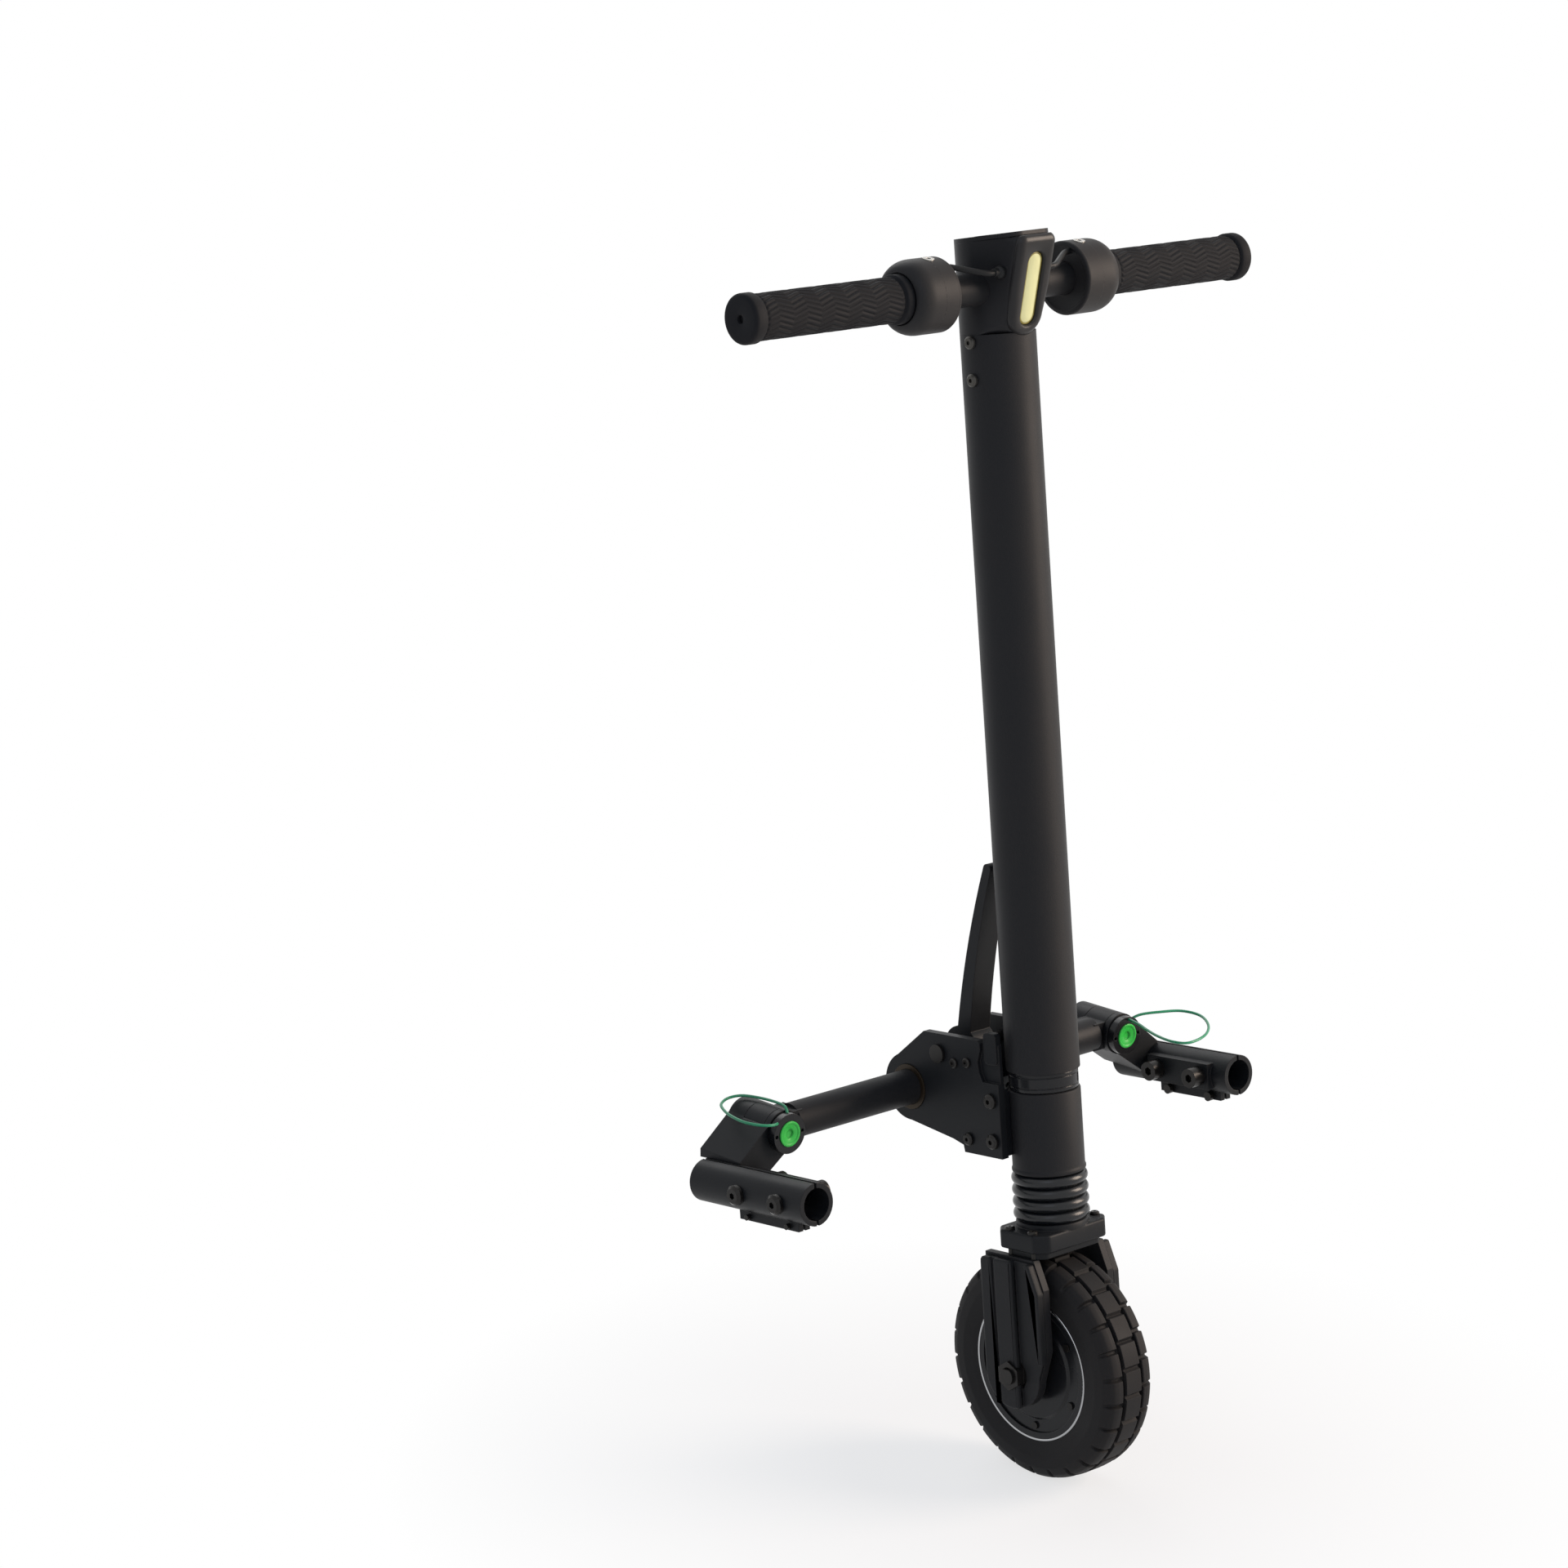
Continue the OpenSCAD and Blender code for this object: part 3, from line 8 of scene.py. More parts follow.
import json
import logging
import math
from dataclasses import dataclass
from enum import Enum
from functools import cache
from typing import Any, Sequence

import bmesh
import bpy
import numpy as np
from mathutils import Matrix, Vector

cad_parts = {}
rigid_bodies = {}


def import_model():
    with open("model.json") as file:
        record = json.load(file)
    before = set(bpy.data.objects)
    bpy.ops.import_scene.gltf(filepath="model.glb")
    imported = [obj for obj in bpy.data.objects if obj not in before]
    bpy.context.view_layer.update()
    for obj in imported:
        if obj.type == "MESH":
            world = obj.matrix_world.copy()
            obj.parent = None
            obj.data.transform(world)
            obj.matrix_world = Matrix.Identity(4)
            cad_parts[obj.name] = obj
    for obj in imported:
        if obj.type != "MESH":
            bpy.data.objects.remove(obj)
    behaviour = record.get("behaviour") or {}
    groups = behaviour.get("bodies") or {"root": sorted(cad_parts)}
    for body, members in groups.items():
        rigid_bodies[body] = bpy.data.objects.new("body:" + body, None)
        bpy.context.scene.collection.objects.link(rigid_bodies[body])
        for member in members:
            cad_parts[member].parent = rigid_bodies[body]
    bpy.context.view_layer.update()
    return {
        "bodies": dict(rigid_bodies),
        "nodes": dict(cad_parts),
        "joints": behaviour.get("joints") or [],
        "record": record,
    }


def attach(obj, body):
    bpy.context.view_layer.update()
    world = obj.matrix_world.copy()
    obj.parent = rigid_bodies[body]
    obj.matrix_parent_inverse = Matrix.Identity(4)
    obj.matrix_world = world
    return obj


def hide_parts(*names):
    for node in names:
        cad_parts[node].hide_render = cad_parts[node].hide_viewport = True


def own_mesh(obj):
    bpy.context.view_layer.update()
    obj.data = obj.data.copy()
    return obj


LOG = logging.getLogger("power_assist")
MM = 0.001
Array = np.ndarray
Pair = tuple[float, float]
Point = tuple[float, float, float]


class Side(Enum):
    """The two sides of the unit, as the rider sits; the value is the sign of X there."""

    RIGHT = -1
    LEFT = 1

    @property
    def word(self) -> str:
        """The side as the names of pieces spell it."""
        return self.name.lower()


# Frames of reference


def cos_sin(degrees: float) -> Pair:
    """Cosine and sine of an angle in degrees."""
    return math.cos(math.radians(degrees)), math.sin(math.radians(degrees))


@dataclass(frozen=True)
class SteeringFrame:
    """Frame of the leaning steering axis: x across, y back from the axis, s up along it from axle level.

    The axle lies behind the axis by the setback.
    """

    rake_deg: float = 6.0
    axle_y: float = -28.25
    axle_z: float = 80.0
    setback: float = 10.0

    def place(self, p: Array) -> Array:
        """Turn points about the lean and move them to the axle.

        Args:
            p: Points (..., 3) as x, y, s.

        Returns:
            Points (..., 3) in the part's frame.
        """
        c, n = cos_sin(self.rake_deg)
        y, s = p[..., 1] - self.setback, p[..., 2]
        return np.stack([p[..., 0], self.axle_y + y * c + s * n, self.axle_z - y * n + s * c], axis=-1)


STEER = SteeringFrame()


@dataclass(frozen=True)
class TiltedFrame:
    """Plane in the steering frame: origin (y, s) and a tilt about x.

    Its axes are x, up the plane and out of it, and it faces the front when the tilt is 0.
    """

    y: float
    s: float
    tilt_deg: float

    def steered(self, p: Array) -> Array:
        """Turn points about the tilt and move them to the origin.

        Args:
            p: Points (..., 3) as across, up the plane and out of it.

        Returns:
            Points (..., 3) in the steering frame.
        """
        c, n = cos_sin(self.tilt_deg)
        up, out = p[..., 1], p[..., 2]
        return np.stack([p[..., 0], self.y - up * n - out * c, self.s + up * c - out * n], axis=-1)

    def place(self, p: Array) -> Array:
        """Points (..., 3) of the plane, in the part's frame."""
        return STEER.place(self.steered(p))


@dataclass(frozen=True)
class OffsetFrame:
    """Frame parallel to the part's own, moved to a point."""

    origin: Point

    def place(self, p: Array) -> Array:
        """Points (..., 3) moved by the origin."""
        return p + np.asarray(self.origin)


Frame = SteeringFrame | TiltedFrame | OffsetFrame
PART = OffsetFrame((0.0, 0.0, 0.0))
DOCK = OffsetFrame((0.0, 81.25, 261.0))


# Shapes on grids

TINY = 1e-9
# Cosine past which two edges count as one line
STRAIGHT = 0.9999
# The most of an edge that the arc at one of its ends may take
EDGE_SHARE = 0.48
# How far a plate's flat face is drawn in past its rounded rim, as a multiple of the rim's radius
FACE_INSET = 1.6


def circle(n: int) -> Array:
    """Unit circle as n points (cos, sin)."""
    a = np.linspace(0.0, 2 * np.pi, n, endpoint=False)
    return np.stack([np.cos(a), np.sin(a)], axis=1)


def smoothstep(low: float, high: float, v: Array) -> Array:
    """Cubic ease from 0 at low to 1 at high."""
    t = np.clip((v - low) / (high - low), 0.0, 1.0)
    return t * t * (3 - 2 * t)


def unit(v: Array) -> Array:
    """Vectors (n, k) made one long."""
    return v / np.maximum(np.linalg.norm(v, axis=1), TINY)[:, None]


def fillet(points: Sequence[Sequence[float]] | Array, radius: float | Sequence[float], steps: int,
           closed: bool = True) -> Array:
    """Round the corners of an outline: each corner becomes an arc that touches both its edges.

    Args:
        points: Corners (n, 2).
        radius: One radius, or one for each corner.
        steps: Points on each arc.
        closed: Whether the last corner joins the first; otherwise the two ends stay sharp.

    Returns:
        The rounded outline (n * steps, 2).
    """
    p = np.asarray(points, float)
    r = np.broadcast_to(np.asarray(radius, float), len(p)).copy()
    if not closed:
        r[[0, -1]] = 0.0
    a, b = np.roll(p, 1, axis=0) - p, np.roll(p, -1, axis=0) - p
    shorter = np.minimum(np.linalg.norm(a, axis=1), np.linalg.norm(b, axis=1))
    a, b = unit(a), unit(b)
    theta = np.arccos(np.clip((a * b).sum(1), -STRAIGHT, STRAIGHT))
    reach = np.minimum(r / np.tan(theta / 2), EDGE_SHARE * shorter)
    r = reach * np.tan(theta / 2)
    centre = p + unit(a + b) * (r / np.sin(theta / 2))[:, None]
    u, v = p + a * reach[:, None] - centre, p + b * reach[:, None] - centre
    phi = (np.pi - theta)[:, None]
    t = np.linspace(0.0, 1.0, steps)[None, :]
    w0, w1 = np.sin((1 - t) * phi) / np.sin(phi), np.sin(t * phi) / np.sin(phi)
    arc = centre[:, None] + w0[..., None] * u[:, None] + w1[..., None] * v[:, None]
    return arc.reshape(-1, 2)


def resample(outline: Array, count: int) -> Array:
    """Take a closed outline again at equal steps along its length.

    Args:
        outline: Outline (n, 2).
        count: How many points it gets.

    Returns:
        Outline (count, 2) with the same start.
    """
    ring = np.vstack([outline, outline[:1]])
    run = np.concatenate([[0.0], np.cumsum(np.linalg.norm(np.diff(ring, axis=0), axis=1))])
    at = np.linspace(0.0, run[-1], count, endpoint=False)
    return np.stack([np.interp(at, run, ring[:, k]) for k in range(2)], axis=1)


def from_top(outline: Array, count: int, finer: int = 4) -> Array:
    """Take a closed outline again at equal steps, from the point straight above its origin.

    Args:
        outline: Outline (n, 2).
        count: How many points it gets.
        finer: How many times finer the steps are among which the start is sought.

    Returns:
        Outline (count, 2).
    """
    ring = resample(outline, finer * count)
    start = int(np.argmin(np.abs(np.arctan2(ring[:, 0], ring[:, 1]))))
    return np.roll(ring, -start, axis=0)[::finer]


def outward(outline: Array) -> Array:
    """Normals of a closed outline: its heading turned by a quarter, away from the side that holds its area.

    Args:
        outline: Outline (n, 2).

    Returns:
        Unit normals (n, 2).
    """
    d = unit(np.roll(outline, -1, axis=0) - np.roll(outline, 1, axis=0))
    x, y = outline.T
    area = (x * np.roll(y, -1) - np.roll(x, -1) * y).sum()
    return np.stack([d[:, 1], -d[:, 0]], axis=1) * np.sign(area)


@dataclass
class Shell:
    """Vertices in millimetres and faces of one or more closed surfaces."""

    verts: Array
    faces: list[tuple[int, ...]]

    def __add__(self, other: Shell) -> Shell:
        """Both surfaces in one shell."""
        k = len(self.verts)
        return Shell(np.vstack([self.verts, other.verts]),
                     self.faces + [tuple(i + k for i in f) for f in other.faces])

    def mirrored(self) -> Shell:
        """The same surface on the other side of the plane X = 0, with its faces turned to point out."""
        return Shell(self.verts * np.array([-1.0, 1.0, 1.0]), [f[::-1] for f in self.faces])

    def on(self, side: Side) -> Shell:
        """The surface of a left piece, as the piece on a side has it."""
        return self if side is Side.LEFT else self.mirrored()

    def moved(self, by: Sequence[float]) -> Shell:
        """The same surface moved by a vector."""
        return Shell(self.verts + np.asarray(by, float), self.faces)

    def axes(self, order: str) -> Shell:
        """Relabel the axes a, b and c, such as by "cab", which takes x from c, y from a and z from b."""
        return Shell(self.verts[:, ["abc".index(k) for k in order]], self.faces)


def skin(rings: Array, close: bool = False) -> Shell:
    """Quads between neighbouring rings, each a closed row of points.

    Args:
        rings: Points (m, n, 3).
        close: Whether the last ring joins the first, as on a torus; otherwise a face closes each end.

    Returns:
        The surface.
    """
    m, n = rings.shape[:2]
    i = np.arange(m if close else m - 1)[:, None]
    j = np.arange(n)[None, :]
    above, beside = (i + 1) % m, (j + 1) % n
    quads = np.stack([i * n + j, i * n + beside, above * n + beside, above * n + j], axis=-1).reshape(-1, 4)
    faces = [tuple(f) for f in quads.tolist()]
    if not close:
        faces += [tuple(range(n - 1, -1, -1)), tuple(range((m - 1) * n, m * n))]
    return Shell(rings.reshape(-1, 3), faces)


def stacked(layers: Sequence[tuple[Array, float]]) -> Array:
    """Rings (m, n, 3) of outlines (n, 2), each at its own height."""
    return np.array([np.column_stack([outline, np.full(len(outline), z)]) for outline, z in layers])


def slab(outline: Array, low: float, high: float, edge: float, steps: int = 4) -> Shell:
    """Plate of an outline whose rims are quarter circles: near each face it is drawn in along its normals.

    Args:
        outline: Closed outline (n, 2).
        low: Height of the lower face.
        high: Height of the upper face.
        edge: Radius of the rims.
        steps: Steps on each quarter circle.

    Returns:
        The plate, standing along the third axis.
    """
    a = np.linspace(0.0, np.pi / 2, steps + 1)
    inset = np.concatenate([[edge * FACE_INSET], edge * (1 - np.sin(a))])
    rise = np.concatenate([[0.0], edge * (1 - np.cos(a))])
    normals = outward(outline)
    lower = [(outline - normals * d, low + z) for d, z in zip(inset, rise)]
    upper = [(outline - normals * d, high - z) for d, z in zip(inset, rise)]
    return skin(stacked(lower + upper[::-1]))


def turned(profile: Array, segments: int) -> Shell:
    """Surface of revolution: a profile (radius, height) carried round the third axis.

    Args:
        profile: Points (m, 2) from one end to the other; a closed ring profile repeats its first point.
        segments: Points round the axis.

    Returns:
        The surface, with an end face where an end has a radius.
    """
    ring = bool(np.allclose(profile[0], profile[-1]))
    levels = profile[:-1] if ring else profile
    around = circle(segments)
    return skin(stacked([(r * around, z) for r, z in levels]), close=ring)


def sweep(path: Array, radius: float, sides: int) -> Shell:
    """Round tube along a path that is never upright: at each point a circle square to the path's heading.

    Args:
        path: Points (m, 3).
        radius: The tube's radius.
        sides: Points on each circle.

    Returns:
        The tube, closed at both ends.
    """
    heading = unit(np.gradient(path, axis=0))
    a = unit(np.cross(heading, np.array([0.0, 0.0, 1.0])))
    b = np.cross(a, heading)
    c = circle(sides)
    return skin(path[:, None] + radius * (c[None, :, 0:1] * a[:, None] + c[None, :, 1:2] * b[:, None]))


def spline(points: Sequence[Sequence[float]], steps: int) -> Array:
    """Catmull-Rom curve through given points: a cubic between each two, steered by their neighbours.

    Args:
        points: Points (n, 3).
        steps: Steps between neighbouring points.

    Returns:
        Points on the curve, ends included.
    """
    p = np.asarray(points, float)
    q = np.vstack([p[:1], p, p[-1:]])
    a, b, c, d = (q[i:len(q) - 3 + i, None] for i in range(4))
    t = (np.arange(steps) / steps)[None, :, None]
    bend, twist = 2 * a - 5 * b + 4 * c - d, 3 * b - a - 3 * c + d
    curve = 0.5 * (2 * b + (c - a) * t + bend * t ** 2 + twist * t ** 3)
    return np.vstack([curve.reshape(-1, 3), p[-1:]])


def put(name: str, data: bpy.types.ID) -> bpy.types.Object:
    """Add an object to the scene.

    Args:
        name: The object's name.
        data: Its mesh, light or camera.

    Returns:
        The object, at the origin.
    """
    obj = bpy.data.objects.new(name, data)
    bpy.context.scene.collection.objects.link(obj)
    return obj


def write_mesh(name: str, shell: Shell, frame: Frame, sharp_deg: float) -> bpy.types.Object:
    """Put a shell into a new object at the origin, in metres, with its faces pointing out.

    Args:
        name: The object's name.
        shell: The surface.
        frame: The frame that places it.
        sharp_deg: Edges that turn more than this stay sharp.

    Returns:
        The object.
    """
    mesh = bpy.data.meshes.new(name)
    mesh.from_pydata((frame.place(shell.verts) * MM).tolist(), [], shell.faces)
    work = bmesh.new()
    work.from_mesh(mesh)
    bmesh.ops.recalc_face_normals(work, faces=work.faces)
    work.to_mesh(mesh)
    work.free()
    mesh.polygons.foreach_set("use_smooth", np.ones(len(mesh.polygons), bool))
    mesh.set_sharp_from_angle(angle=math.radians(sharp_deg))
    return put(name, mesh)


# Finishes


def linear(hex_colour: str) -> tuple[float, float, float, float]:
    """Turn an sRGB hex value to linear: a straight line near black and a power of 2.4 above it.

    Args:
        hex_colour: Colour such as "#20a0ff".

    Returns:
        Linear red, green and blue, and an alpha of 1.
    """
    v = np.array([int(hex_colour[i:i + 2], 16) for i in (1, 3, 5)]) / 255
    lin = np.where(v <= 0.04045, v / 12.92, ((v + 0.055) / 1.055) ** 2.4)
    return (float(lin[0]), float(lin[1]), float(lin[2]), 1.0)


def bare_tree(block: bpy.types.Material | bpy.types.World) -> bpy.types.NodeTree:
    """Switch on the node tree of a material or a world and empty it.

    Args:
        block: The material or the world.

    Returns:
        Its node tree.
    """
    block.use_nodes = True
    block.node_tree.nodes.clear()
    return block.node_tree


def add(tree: bpy.types.NodeTree, kind: str, inputs: dict[str | int, Any] | None = None,
        **settings: Any) -> bpy.types.Node:
    """Add one node, with its settings, and its inputs set to values or linked from sockets.

    Args:
        tree: The node tree.
        kind: The node's type without the ShaderNode prefix.
        inputs: Input names or places, with a value or an output socket each.
        **settings: The node's own properties.

    Returns:
        The node.
    """
    node = tree.nodes.new("ShaderNode" + kind)
    for key, value in settings.items():
        setattr(node, key, value)
    for key, value in (inputs or {}).items():
        if isinstance(value, bpy.types.NodeSocket):
            tree.links.new(value, node.inputs[key])
        else:
            node.inputs[key].default_value = value
    return node


# Places of a Mix node's sockets when it mixes colours
MIX_SHARE, MIX_FIRST, MIX_SECOND, MIX_RESULT = 0, 6, 7, 2


@dataclass(frozen=True)
class Finish:
    """A grained finish: a base colour that drifts a little, a grain that bumps it, a roughness that varies.

    The grain is noise of a real size in millimetres. Edges are eased by edge_mm in the shading, and there
    lightened in
    patches to a set colour: partly worn edges, partly a painted highlight along them. Narrow hollows, within
    a set distance in millimetres, are darkened to a set dark colour, which is painted shade.
    """

    colour: str
    drift: str
    roughness: float
    grain_mm: float = 0.6
    bump: float = 0.05
    drift_mm: float = 60.0
    metallic: float = 0.0
    spread: float = 0.06
    coat: float = 0.0
    specular: float = 0.3
    edge_mm: float = 0.7
    # Colour of the lightened edges (worn, and a painted highlight); dark colour and reach of the painted
    # shade in hollows
    wear: str = ""
    cavity: str = ""
    cavity_mm: float = 1.6

    # How deep the grain is cut, and how rough the clear coat is
    GRAIN_DEPTH_MM = 0.4
    COAT_ROUGHNESS = 0.12
    # Octaves of the broad noise and of the grain, and rays that feel for edges and for the hollows of the
    # painted shade
    BROAD_DETAIL, GRAIN_DETAIL = 4.0, 3.0
    EDGE_RAYS, HOLLOW_RAYS = 4, 6
    # Noise values between which the colour drifts and the roughness varies
    DRIFT_FROM, DRIFT_TO = 0.3, 0.72
    ROUGH_FROM, ROUGH_TO = 0.3, 0.7
    # Cosine of the turn between the face and its eased edge where the edge lightening (worn edges and painted
    # highlight) starts, and where it is full
    WEAR_FROM, WEAR_TO = 0.98, 0.78
    # Share of open sky under which a hollow takes all of the painted shade, and over which it takes none
    CAVITY_FROM, CAVITY_TO = 0.4, 0.95

    def build(self, name: str) -> bpy.types.Material:
        """Make the material.

        Args:
            name: The material's name.

        Returns:
            A new material on Object coordinates.
        """
        mat = bpy.data.materials.new(name)
        tree = bare_tree(mat)
        place = add(tree, "TexCoord").outputs["Object"]
        broad, fine = (
            add(tree, "TexNoise", {"Vector": place, "Scale": 1 / (size * MM), "Detail": detail}).outputs[0]
            for size, detail in ((self.drift_mm, self.BROAD_DETAIL), (self.grain_mm, self.GRAIN_DETAIL)))
        eased = add(tree, "Bevel", {"Radius": self.edge_mm * MM}, samples=self.EDGE_RAYS).outputs[0]
        rough = add(tree, "MapRange", {
            "Value": broad, "From Min": self.ROUGH_FROM, "From Max": self.ROUGH_TO,
            "To Min": self.roughness - self.spread, "To Max": self.roughness + self.spread})
        bump = add(tree, "Bump", {"Height": fine, "Strength": self.bump, "Normal": eased,
                                  "Distance": self.GRAIN_DEPTH_MM * MM})
        shader = add(tree, "BsdfPrincipled", {
            "Base Color": self.paint(tree, broad, eased), "Roughness": rough.outputs[0],
            "Normal": bump.outputs[0], "Metallic": self.metallic, "Specular IOR Level": self.specular,
            "Coat Weight": self.coat, "Coat Roughness": self.COAT_ROUGHNESS})
        add(tree, "OutputMaterial", {"Surface": shader.outputs[0]})
        return mat

    def paint(self, tree: bpy.types.NodeTree, broad: bpy.types.NodeSocket,
              eased: bpy.types.NodeSocket) -> bpy.types.NodeSocket:
        """Colour of the finish: its drift, lightened edges (worn and painted highlight), painted shade in
        hollows.

        Args:
            tree: The node tree.
            broad: The broad noise.
            eased: The normal with eased edges.

        Returns:
            The colour's socket.
        """
        share = add(tree, "MapRange", {"Value": broad, "From Min": self.DRIFT_FROM,
                                       "From Max": self.DRIFT_TO}).outputs[0]
        first, second = linear(self.colour), linear(self.drift)
        colour = add(tree, "Mix", {MIX_SHARE: share, MIX_FIRST: first, MIX_SECOND: second},
                     data_type="RGBA").outputs[MIX_RESULT]
        # Edges lightened in patches where the eased normal turns from the face's: partly worn edges, partly a
        # painted highlight
        if self.wear:
            face = add(tree, "NewGeometry").outputs["Normal"]
            turn = add(tree, "VectorMath", {0: eased, 1: face}, operation="DOT_PRODUCT").outputs["Value"]
            edge_wear_highlight = add(tree, "MapRange", {"Value": turn, "From Min": self.WEAR_FROM,
                                         "From Max": self.WEAR_TO}).outputs[0]
            wear_highlight_spots = add(tree, "Math", {0: edge_wear_highlight, 1: broad}, operation="MULTIPLY").outputs[0]
            colour = add(tree, "Mix", {MIX_SHARE: wear_highlight_spots, MIX_FIRST: colour, MIX_SECOND: linear(self.wear)},
                         data_type="RGBA").outputs[MIX_RESULT]
        # Hollows darkened by ambient occlusion to a set dark colour: painted shade
        if self.cavity:
            sky = add(tree, "AmbientOcclusion", {"Distance": self.cavity_mm * MM},
                      samples=self.HOLLOW_RAYS).outputs["AO"]
            bare = add(tree, "MapRange", {"Value": sky, "From Min": self.CAVITY_FROM,
                                          "From Max": self.CAVITY_TO}).outputs[0]
            colour = add(tree, "Mix", {MIX_SHARE: bare, MIX_FIRST: linear(self.cavity), MIX_SECOND: colour},
                         data_type="RGBA").outputs[MIX_RESULT]
        return colour


class Surface(Enum):
    """The finishes of the unit, each named for its material and how that was made."""

    # Powder coat on aluminium: a fine pebbled black that scatters the light; lighter edges, worn and painted
    # highlight
    POWDER_COAT = Finish("#232426", "#282829", 0.5, grain_mm=0.8, bump=0.16, specular=0.14, wear="#3c3a38")
    # Powder coat with a tighter grain, on the cast and milled bracket pieces; edges lighter, a little rubbed
    # and a painted highlight
    BRACKET_COAT = Finish("#191b1e", "#1e2022", 0.44, grain_mm=0.7, bump=0.12, specular=0.14, wear="#4a4744",
                          edge_mm=0.9)
    # Satin anodised aluminium: smooth, dark, with clear soft highlights
    SATIN_ANODISED = Finish("#1c1d1f", "#212224", 0.28, bump=0.03, coat=0.06, specular=0.2)
    # Polished black collar: sharp vertical reflections
    POLISHED_BLACK = Finish("#1b1c1e", "#1f2022", 0.18, bump=0.01, coat=0.04, specular=0.22)
    # Moulded ABS: a spark-eroded grain, even and slightly soft
    MOULDED_ABS = Finish("#242527", "#29292a", 0.45, grain_mm=0.9, bump=0.12, specular=0.14, edge_mm=0.9)
    # The control drums: the same ABS, greyer and duller
    DRUM_ABS = Finish("#303030", "#353434", 0.5, grain_mm=0.9, bump=0.12, specular=0.12, edge_mm=0.9)
    # The lamp's frame: the same ABS from a finer tool
    BEZEL_ABS = Finish("#282828", "#2c2b2b", 0.36, grain_mm=0.7, bump=0.06, specular=0.22)
    # Glass-filled nylon of the leg covers: coarser, greyer; lighter edges, worn and painted highlight
    FILLED_NYLON = Finish("#212224", "#262728", 0.5, grain_mm=1.1, bump=0.16, specular=0.14, wear="#3a3838",
                          edge_mm=0.8)
    # Grip rubber: matte, with painted shade darkening the hollows between its ridges
    GRIP_RUBBER = Finish("#252628", "#2a2a2b", 0.62, bump=0.06, specular=0.06, edge_mm=0.3, cavity="#0c0d10")
    # Bellows rubber: smooth moulded, with a wet sheen
    BELLOWS_RUBBER = Finish("#15181b", "#191c1f", 0.24, grain_mm=0.8, bump=0.03, specular=0.35)
    # Vinyl jacket of the leads: smooth black with a low sheen
    LEAD_JACKET = Finish("#1a1b1c", "#1e1f20", 0.45, grain_mm=0.7, bump=0.03, specular=0.2)
    # Zinc-plated steel of the small screws: bright, with a slightly warm grey
    ZINC_STEEL = Finish("#b9b6b0", "#cfccc6", 0.28, bump=0.04, metallic=1.0, edge_mm=0.3)
    # Black oxide steel of the bolts: near black, with a soft metal sheen
    BLACK_OXIDE = Finish("#232221", "#2c2a28", 0.32, metallic=0.5, edge_mm=0.4)
    # Phosphated steel of the column's screws: a dull, warm dark grey
    DULL_STEEL = Finish("#45433f", "#4c4a46", 0.46, metallic=0.6, edge_mm=0.3)
    # Turned steel and bearing races: bright and clean, a cool grey
    TURNED_STEEL = Finish("#a7a8aa", "#babbbd", 0.25, bump=0.03, metallic=1.0, edge_mm=0.3)
    # Machined edge of the hub: bright bare aluminium
    MACHINED_ALLOY = Finish("#a3a4a6", "#b0b1b3", 0.26, bump=0.03, metallic=1.0, edge_mm=0.2)
    # Copper windings under varnish: red-brown wire with a gloss over it
    VARNISHED_COPPER = Finish("#9a5a2c", "#b06a36", 0.3, bump=0.1, metallic=0.8, coat=0.4)
    # Electrical steel of the stator: stamped sheets, a flat mid grey
    STATOR_STEEL = Finish("#777a7d", "#84878a", 0.45, bump=0.1, metallic=0.8)
    # Oil-blackened bronze bushes: dark with a brown cast
    BUSH_BRONZE = Finish("#2a231a", "#332a1f", 0.42, metallic=0.6)
    # Shrink sleeve of the cells: smooth green film with a soft gloss
    CELL_SLEEVE = Finish("#2d8a4a", "#35965a", 0.35, grain_mm=1.0, bump=0.04)
    # Circuit board lacquer: dark green with a soft gloss
    BOARD_LACQUER = Finish("#1d5a38", "#236a42", 0.35, grain_mm=1.0)
    # Natural nylon of the spacers: moulded, off-white and a little waxy
    NATURAL_NYLON = Finish("#cfcabc", "#d9d5c8", 0.45, grain_mm=1.0, bump=0.06)
    # Grey ABS of the power button: moulded, with a fine even grain
    GREY_ABS = Finish("#7f8285", "#8a8d90", 0.4, grain_mm=0.9, bump=0.1)
    # Green push buttons of the pins: bright moulded acetal, with painted shade darkening its dimple
    GREEN_ACETAL = Finish("#36c04a", "#40ca56", 0.36, grain_mm=0.8, bump=0.03, cavity="#0b5a22",
                          cavity_mm=3.0)
    # Green nylon coat on the pull wires: smooth, with a thin highlight along the wire
    GREEN_WIRE = Finish("#1f8f62", "#2aa06f", 0.35, specular=0.5, edge_mm=0.2)
    # Smoked acrylic window over the display: near black and glossy
    SMOKED_WINDOW = Finish("#0d0e10", "#101113", 0.1, grain_mm=1.0, bump=0.01, coat=0.5, spread=0.02)
    # Lens of the lamp: pale frosted polycarbonate with a yellow cast
    FROSTED_LENS = Finish("#d6daa2", "#dce0ac", 0.35, grain_mm=1.2, coat=0.1, specular=0.2)
    # Edge ring of the lens: a darker olive than the lens, painted shade of its bevelled edge
    LENS_RIM = Finish("#8a8140", "#978e4a", 0.35, grain_mm=1.0, bump=0.04)
    # Tyre rubber: dull black, a little dusty; lighter edges, worn and painted highlight
    TYRE_RUBBER = Finish("#1e1e1f", "#262525", 0.62, grain_mm=1.2, bump=0.14, drift_mm=25.0, specular=0.15,
                         wear="#343130")


@cache
def material(surface: Surface) -> bpy.types.Material:
    """The material of a finish, made when it is first asked for."""
    return surface.value.build(surface.name.lower())


def dress(obj: bpy.types.Object, surface: Surface) -> None:
    """Give an object one finish.

    Args:
        obj: The object.
        surface: The finish.
    """
    obj.data.materials.clear()
    obj.data.materials.append(material(surface))


# Edges of a piece that turn more than this stay sharp, unless the piece says otherwise
SHARP_DEG = 38.0


